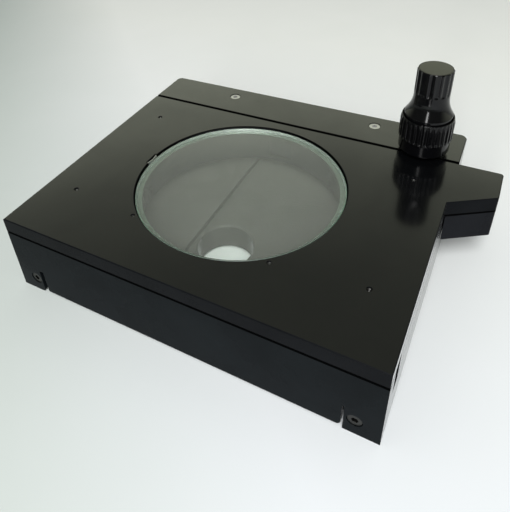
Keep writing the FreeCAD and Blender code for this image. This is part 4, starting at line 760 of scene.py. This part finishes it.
@dataclass(frozen=True)
class Flutes:
    """Round-bottomed grooves cut upright into a knob."""

    count: int
    radius_mm: float
    depth_mm: float
    from_mm: float
    run_out_mm: float = 0.9

    def cutter(self, angle: np.ndarray, height: np.ndarray, rim: float) -> np.ndarray:
        """How far from the axis each spot is left by the cutter.

        The cutter's wall is at C - sqrt(f^2 - x^2), with x the distance from the
        groove's middle line, f its radius and C its centre. Below the groove's end
        the cutter lifts out of the knob along a smooth ramp.

        Args:
            angle: Angles round the knob, in radians.
            height: Heights of the profile's points.
            rim: The radius of the fluted rim.

        Returns:
            The radius left at each height and angle.
        """
        pitch = 2 * np.pi / self.count
        across = ((angle + pitch / 2) % pitch - pitch / 2) * rim
        inside = np.sqrt(np.maximum(self.radius_mm ** 2 - across ** 2, 0.0))
        centre = rim + self.radius_mm - self.depth_mm
        share = np.clip((height - self.from_mm) / self.run_out_mm, 0.0, 1.0)
        lift = (1.0 - np.sqrt(1.0 - (1.0 - share) ** 2)) * 1.4 * self.depth_mm
        lift = np.where(share <= 0.0, rim, lift)
        return centre - inside[None, :] + lift[:, None]


@dataclass(frozen=True)
class SetScrewHole:
    """The mouth of the set screw's hole in the back of a knob."""

    height_mm: float
    radius_mm: float = 1.55
    depth_mm: float = 5.0

    def sink(self, angle: np.ndarray, profile: np.ndarray) -> np.ndarray:
        """How deep the hole goes at each spot.

        The depth is full inside the hole's radius and falls to nothing over the last
        0.15 mm, where the distance is measured on the knob's skin from the hole's axis.

        Args:
            angle: Angles round the knob.
            profile: The profile's rows of radius and height.

        Returns:
            The depth at each height and angle.
        """
        radius, height = profile[:, :1], profile[:, 1:]
        aside = radius * np.cos(angle)[None, :]
        ahead = np.sin(angle)[None, :] > 0
        distance = np.hypot(aside, height - self.height_mm)
        depth = np.clip((self.radius_mm - distance) / 0.15, 0.0, 1.0) * self.depth_mm
        outer = radius > self.depth_mm + 3.0
        return np.where(ahead & outer, depth, 0.0)


@dataclass
class Knob:
    """One fluted knob: a turned profile with grooves, standing for its solid."""

    name: str
    node: str
    body: Part
    slot: str
    axis_mm: tuple[float, float]
    corners_mm: Sequence[tuple[float, float, float]]
    rim_mm: float
    flutes: Flutes
    hole: SetScrewHole
    samples: int = 16

    def points(self) -> np.ndarray:
        """The knob's skin: the profile turned about the axis, less flutes and hole.

        At angle a and profile point (R, z) the radius is the rounded lesser of R and
        the cutter's radius, on the outer side of the profile only, less the hole.

        Returns:
            Points with the profile along the first axis and the turn along the second.
        """
        given = np.array(self.corners_mm)
        profile = eased_profile(given[:, :2], given[:, 2])
        angle = np.linspace(0.0, 2 * np.pi, self.flutes.count * self.samples, endpoint=False)
        cut = self.flutes.cutter(angle, profile[:, 1], self.rim_mm)
        whole = np.repeat(profile[:, :1], len(angle), axis=1)
        outer = whole > self.rim_mm - self.flutes.depth_mm * 1.5
        radius = np.where(outer, soft_least(whole, cut, 0.12), whole)
        radius = radius - self.hole.sink(angle, profile)
        height = np.repeat(profile[:, 1:], len(angle), axis=1)
        return np.stack([self.axis_mm[0] + radius * np.cos(angle)[None, :],
                         self.axis_mm[1] + radius * np.sin(angle)[None, :], height], axis=-1)

    def build(self) -> None:
        """Makes the knob and lets it stand for its solid."""
        skin = self.points()
        quads = grid_quads(*skin.shape[:2], True, True)
        piece = make_piece(self.name, skin.reshape(-1, 3), quads.tolist(),
                           [FINISHES[self.slot].material()])
        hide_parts(self.node)
        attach(piece, self.body.value)


@dataclass
class KnobCap:
    """The inlaid cap on the small knob, with a shallow crown."""

    axis_mm: tuple[float, float]
    radius_mm: float = 8.88
    bottom_mm: float = 103.6
    top_mm: float = 104.95
    edge_mm: float = 0.45
    rings: int = 40
    turns: int = 128

    def build(self) -> None:
        """Makes the cap as a closed turned form.

        The height falls from the middle by 0.12 times the square of the radius share,
        and the last ring follows a quarter ellipse down to the side.
        """
        share = np.linspace(0.0, 1.0, self.rings)[1:]
        radius = (self.radius_mm - self.edge_mm) * share
        top = self.top_mm - 0.12 * share ** 2
        bend = np.linspace(0.0, np.pi / 2, 8)[1:]
        edge_r = self.radius_mm - self.edge_mm * (1 - np.sin(bend))
        edge_z = top[-1] - self.edge_mm * (1 - np.cos(bend))
        side = np.array([[self.radius_mm, self.bottom_mm + rise] for rise in (0.01, 0.0)])
        profile = np.vstack([np.column_stack([radius, top]), np.column_stack([edge_r, edge_z]),
                             side])
        piece = turned_solid("top_knob_cap", profile, self.top_mm, self.bottom_mm, self.axis_mm,
                             self.turns, [FINISHES["cap_olive"].material()])
        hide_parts("knob_cap")
        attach(piece, Part.Y_DRIVE.value)


def turned_solid(name: str, profile: np.ndarray, top: float, bottom: float,
                 axis: tuple[float, float], turns: int, materials: Sequence[Material],
                 which: np.ndarray | None = None) -> bpy.types.Object:
    """A closed form turned about an upright axis, with a point at each pole.

    Point (i, a) is at radius R_i and height z_i, turned by angle a. The rows go from
    the top pole outwards and down to the bottom pole.

    Args:
        name: The piece's name.
        profile: Rows of radius and height from the top outwards and down.
        top: The height of the top pole.
        bottom: The height of the bottom pole.
        axis: The axis in plan.
        turns: Points round each ring.
        materials: The materials in slot order.
        which: For each ring band, pole bands included, its material's number.

    Returns:
        The piece.
    """
    angle = np.linspace(0.0, 2 * np.pi, turns, endpoint=False)[None, :]
    radius, height = profile[:, :1], profile[:, 1:]
    skin = np.stack([axis[0] + radius * np.cos(angle), axis[1] + radius * np.sin(angle),
                     height + 0.0 * angle], axis=-1).reshape(-1, 3)
    poles = np.array([[axis[0], axis[1], top], [axis[0], axis[1], bottom]])
    first, count = len(skin), len(profile)
    ring = np.arange(turns)
    following = (ring + 1) % turns
    last = (count - 1) * turns
    cap = np.column_stack([np.full(turns, first), ring, following])
    base = np.column_stack([np.full(turns, first + 1), last + following, last + ring])
    quads = grid_quads(count, turns, False, True)[:, [0, 3, 2, 1]]
    faces = cap.tolist() + quads.tolist() + base.tolist()
    bands = None if which is None else np.repeat(which, turns)
    return make_piece(name, np.vstack([skin, poles]), faces, materials, bands)


@dataclass
class StageGlass:
    """The round glass: polished faces, ground chamfers and a ground edge."""

    centre_mm: tuple[float, float] = GLASS_CENTRE_MM
    radius_mm: float = 60.0
    top_mm: float = 50.0
    bottom_mm: float = 45.03
    chamfer_mm: float = 0.5
    seated_mm: float = 56.5
    turns: int = 360

    def build(self) -> None:
        """Makes the disc: flat faces, a straight chamfer at each rim and an upright edge."""
        flat = self.radius_mm - self.chamfer_mm
        rows = [(flat / 2, self.top_mm), (flat - 0.02, self.top_mm), (flat, self.top_mm),
                (self.radius_mm, self.top_mm - self.chamfer_mm),
                (self.radius_mm, self.bottom_mm + self.chamfer_mm), (flat, self.bottom_mm),
                (flat - 0.02, self.bottom_mm), (self.seated_mm, self.bottom_mm),
                (flat / 2, self.bottom_mm)]
        ground = np.array([0, 0, 0, 1, 3, 1, 0, 2, 0, 0])
        piece = turned_solid("round_stage_glass", np.array(rows), self.top_mm, self.bottom_mm,
                             self.centre_mm, self.turns,
                             [POLISHED_GLASS.material(), GROUND_GLASS.material(),
                              SEATED_GLASS.material(), UPRIGHT_GLASS.material()], ground)
        sharpen(piece, 20.0)
        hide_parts("glass_disc")
        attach(piece, Part.PLATE.value)


def sharpen(piece: bpy.types.Object, degrees: float) -> None:
    """Marks a piece's edges that bend by more than an angle as sharp, to keep flats flat."""
    piece.data.set_sharp_from_angle(angle=float(np.radians(degrees)))


# ---------------------------------------------------------------- sub-assemblies


@dataclass
class CoaxialKnobs:
    """The two coaxial control knobs and the cap of the upper one."""

    axis_mm: tuple[float, float] = (84.0, 65.75)

    def lower(self) -> Knob:
        """The large fluted cup on its plain collar.

        Returns:
            The knob.
        """
        bottom, top, floor = 52.8, 75.2, 66.2
        corners = [(3.62, bottom, 0.1), (13.5, bottom, 0.3), (14.5, bottom + 1.0, 0.5),
                   (14.5, 60.8, 0.15), (15.1, 61.4, 0.15), (15.1, 72.6, 0.9), (14.5, top, 0.25),
                   (14.0, top, 0.2), (14.0, floor, 0.3), (3.62, floor, 0.1)]
        return Knob("large_fluted_knob", "lower_knob", Part.X_DRIVE, "lower_knob_black",
                    self.axis_mm, corners, 15.1, Flutes(32, 1.2, 0.65, 61.6, 1.6),
                    SetScrewHole(57.0))

    def upper(self) -> Knob:
        """The small fluted knob with its flared skirt.

        Returns:
            The knob.
        """
        bottom, top, seat = 70.5, 104.7, 103.6
        corners = [(2.52, bottom, 0.1), (13.4, bottom, 0.3), (13.4, 77.1, 0.3),
                   (9.8, 82.5, 6.06), (9.8, top - 0.6, 0.25), (9.2, top, 0.12), (8.9, top, 0.06),
                   (8.9, seat, 0.1), (2.52, seat, 0.1)]
        return Knob("small_fluted_knob", "upper_knob", Part.Y_DRIVE, "upper_knob_black",
                    self.axis_mm, corners, 9.8, Flutes(16, 2.4, 0.55, 90.1, 1.1),
                    SetScrewHole(78.2), samples=24)

    def build(self) -> None:
        """Makes both knobs and the cap."""
        for piece in (self.lower(), self.upper(), KnobCap(self.axis_mm)):
            piece.build()


@dataclass
class ThreadedHoles:
    """Tapped holes in the top plate, whose threads were cut after the black was put on."""

    name: str
    spots_mm: Sequence[tuple[float, float]]
    radius_mm: float
    depth_mm: float
    top_mm: float = 49.6
    pitch_mm: float = 0.5
    tooth_mm: float = 0.2
    columns: int = 28

    def skin(self) -> np.ndarray:
        """One thread as a closed ring of points about the axis at the origin.

        The inner wall's radius at angle a and height z is R - h * |2u - 1| with u the
        whole-number remainder of z / pitch - a / 2 pi, so its crest climbs one pitch a
        turn. The outer wall is the plain radius R, back down.

        Returns:
            Points with the profile along the first axis and the turn along the second.
        """
        rows = int(self.depth_mm / self.pitch_mm * 8)
        height = np.linspace(self.top_mm - self.depth_mm, self.top_mm, rows)[:, None]
        angle = np.linspace(0.0, 2 * np.pi, self.columns, endpoint=False)[None, :]
        climb = (height / self.pitch_mm - angle / (2 * np.pi)) % 1.0
        inner = self.radius_mm - 0.04 - self.tooth_mm * (1.0 - np.abs(2 * climb - 1.0))
        radius = np.vstack([inner, np.full_like(inner[:2], self.radius_mm - 0.01)])
        level = np.vstack([height, height[-1:], height[:1]]) + 0.0 * angle
        return np.stack([radius * np.cos(angle), radius * np.sin(angle), level], axis=-1)

    def build(self) -> None:
        """Puts one thread into each hole, all in one piece."""
        skin = self.skin()
        quads = grid_quads(*skin.shape[:2], True, True)[:, ::-1]
        spots = np.array([(x, y, 0.0) for x, y in self.spots_mm])
        points = (skin.reshape(1, -1, 3) + spots[:, None, :]).reshape(-1, 3)
        shift = np.arange(len(spots))[:, None, None] * (skin.shape[0] * skin.shape[1])
        faces = (quads[None] + shift).reshape(-1, 4)
        piece = make_piece(self.name, points, faces.tolist(), [BARE_ALUMINIUM.material()])
        sharpen(piece, 30.0)
        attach(piece, Part.PLATE.value)


@dataclass
class PackedParts:
    """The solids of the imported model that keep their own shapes."""

    record: dict

    def dress(self) -> None:
        """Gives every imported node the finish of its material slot."""
        glass = POLISHED_GLASS.material()
        for row in self.record["subparts"]:
            node = frame["nodes"][row["node"]]
            finish = FINISHES.get(row["material_slot"])
            material = finish.material() if finish else glass
            if not node.material_slots:
                node.data.materials.append(material)
            for place in node.material_slots:
                place.material = material
            LOG.info("%s: %s", row["node"], material.name)


# ---------------------------------------------------------------- studio


@dataclass
class Floor(Look):
    """The pale sheet that the stage stands on, with painted light and shade: darker on the left,
    paler and warmer far back, bluer near the front.
    """

    name: str = "floor_paper_painted_light"
    half_width: float = 4.0
    left: Rgb = (0.55, 0.60, 0.56)
    far: Rgb = (0.93, 0.945, 0.895)
    near: Rgb = (0.785, 0.812, 0.832)

    def draw(self, sheet: NodeSheet) -> None:
        """Paper with painted light and shade, whose colour goes from left to right and from far to
        near across the view.
        """
        spot = sheet.add("SeparateXYZ", i0=sheet.spot())
        across = sheet.maths("ADD", sheet.maths("ADD", spot.outputs[0], spot.outputs[1]), 0.5)
        nearness = sheet.maths("SUBTRACT", 0.5, spot.outputs[1])
        grain = GRAIN.place(sheet, Grain_Scale=900.0, Patch_Scale=12.0,
                            Colour=rgba((1.0, 1.0, 1.0)), Patch_Colour=rgba((0.97, 0.975, 0.97)),
                            Roughness=0.8, Swing=0.1)
        # Painted light and shade: darker towards the near side and, below, towards the left.
        right = sheet.blend(sheet.ramp(nearness, (0.2, 0.0), (0.62, 1.0)), rgba(self.far),
                            rgba(self.near))
        paper = sheet.blend(sheet.ramp(across, (0.25, 0.0), (0.46, 1.0)), rgba(self.left), right)
        tone = sheet.blend(1.0, paper, grain.outputs["Colour"], "MULTIPLY")
        shader = sheet.add("BsdfPrincipled", base_color=tone,
                           roughness=grain.outputs["Roughness"], specular_ior_level=0.2)
        sheet.add("OutputMaterial", surface=shader.outputs[0])

    def build(self) -> None:
        """Lays the floor just under the stage."""
        reach, drop = self.half_width / MM, -0.05
        corners = np.array([[-reach, -reach, drop], [reach, -reach, drop], [reach, reach, drop],
                            [-reach, reach, drop]])
        sheet = make_piece("floor", corners, [(0, 1, 2, 3)], [self.material()])


@dataclass
class Studio:
    """Soft lamps and a surround that glossy faces see bright low down and dim overhead."""

    fill: Rgb = (0.42, 0.43, 0.425)
    low: Rgb = (0.95, 1.0, 0.80)
    near_share: float = 0.12
    backdrop: Rgb = (0.66, 0.69, 0.66)
    key_power: float = 6.5
    key_size: float = 0.16
    key_height: float = 0.9
    key_place: tuple[float, float, float] = (0.15, -1.03, 0.63)
    key_aim: tuple[float, float, float] = (0.0, 0.0, 0.04)
    top_power: float = 8.6
    top_size: float = 0.5
    top_place: tuple[float, float, float] = (0.30, -0.62, 1.05)
    stops: tuple[tuple[float, float], ...] = (
        (0.0, 1.0), (0.50, 1.0), (0.55, 0.85), (0.59, 0.5), (0.62, 0.47), (0.66, 0.38),
        (0.72, 0.28), (1.0, 0.25))

    def surround(self) -> None:
        """Sets the world: plain fill, a mirrored light that falls with height, a backdrop."""
        world = bpy.data.worlds.new("studio_surround")
        bpy.context.scene.world = world
        world.use_nodes = True
        sheet = NodeSheet(world.node_tree)
        world.node_tree.nodes.clear()
        axes = sheet.add("SeparateXYZ", i0=sheet.add("TexCoord").outputs["Generated"])
        away = sheet.maths("ADD", sheet.times(axes.outputs[1], 0.5), 0.5)
        share = sheet.times(sheet.ramp(axes.outputs[2], *self.stops),
                            sheet.ramp(away, (0.35, self.near_share), (0.6, 1.0)))
        mirrored = sheet.blend(share, rgba((0.0, 0.0, 0.0)), rgba(self.low))
        rays = sheet.add("LightPath")
        light = sheet.blend(rays.outputs["Is Glossy Ray"], rgba(self.fill), mirrored)
        colour = sheet.blend(rays.outputs["Is Camera Ray"], light, rgba(self.backdrop))
        shade = sheet.add("Background", color=colour, strength=1.0)
        sheet.add("OutputWorld", surface=shade.outputs[0])

    def lamp(self, name: str, power: float, size: float, height: float, place: Rgb) -> None:
        """Adds one soft lamp that faces the stage, like a tall window or a round shade.

        Args:
            name: The lamp's name.
            power: Its power in watts.
            size: Its width in metres.
            height: Its height in metres.
            place: Where it hangs.
        """
        light = bpy.data.lights.new(name, "AREA")
        light.shape = "ELLIPSE" if height == size else "RECTANGLE"
        light.size = size
        light.size_y = height
        light.energy = power
        thing = bpy.data.objects.new(name, light)
        thing.location = place
        aim = Vector(self.key_aim) - Vector(place)
        thing.rotation_euler = aim.to_track_quat("-Z", "Y").to_euler()
        bpy.context.scene.collection.objects.link(thing)

    def build(self) -> None:
        """Sets the surround, the lamps and the plain view transform."""
        self.surround()
        self.lamp("key_lamp", self.key_power, self.key_size, self.key_height, self.key_place)
        self.lamp("top_lamp", self.top_power, self.top_size, self.top_size, self.top_place)
        bpy.context.scene.view_settings.view_transform = "Standard"


@dataclass
class Camera:
    """The photograph's viewing angle, with a small shift for its off-centre crop."""

    place_mm: tuple[float, float, float] = (118.0, -226.5, 245.0)
    right: Rgb = (0.875188, 0.480014, -0.060270)
    down: Rgb = (0.221787, -0.508817, -0.831814)
    ahead: Rgb = (-0.429949, 0.714627, -0.551772)
    focal_px: float = 547.0
    long_side_px: float = 512.0
    shift: tuple[float, float] = (0.068, -0.2266)
    sensor_mm: float = 36.0

    def build(self) -> None:
        """Makes the camera: the columns of its turn are right, up and back."""
        lens = bpy.data.cameras.new("camera")
        lens.sensor_width = self.sensor_mm
        lens.lens = self.focal_px / self.long_side_px * self.sensor_mm
        lens.shift_x, lens.shift_y = self.shift
        lens.clip_start, lens.clip_end = 0.01, 20.0
        camera = bpy.data.objects.new("camera", lens)
        turn = Matrix([self.right, [-x for x in self.down], [-x for x in self.ahead]]).transposed()
        camera.matrix_world = Matrix.Translation(Vector(self.place_mm) * MM) @ turn.to_4x4()
        bpy.context.scene.collection.objects.link(camera)
        bpy.context.scene.camera = camera


def main() -> None:
    """Builds the pieces, the studio and the camera."""
    logging.basicConfig(level=logging.INFO, format="%(name)s: %(message)s")
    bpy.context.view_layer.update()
    PackedParts(frame["record"]).dress()
    CoaxialKnobs().build()
    StageGlass().build()
    ThreadedHoles("clip_hole_threads", CLIP_HOLES_MM, 1.5, 5.5).build()
    ThreadedHoles("small_hole_threads", SMALL_HOLES_MM, 1.25, 4.5).build()
    Floor().build()
    Studio().build()
    Camera().build()


if __name__ == "__main__":
    main()
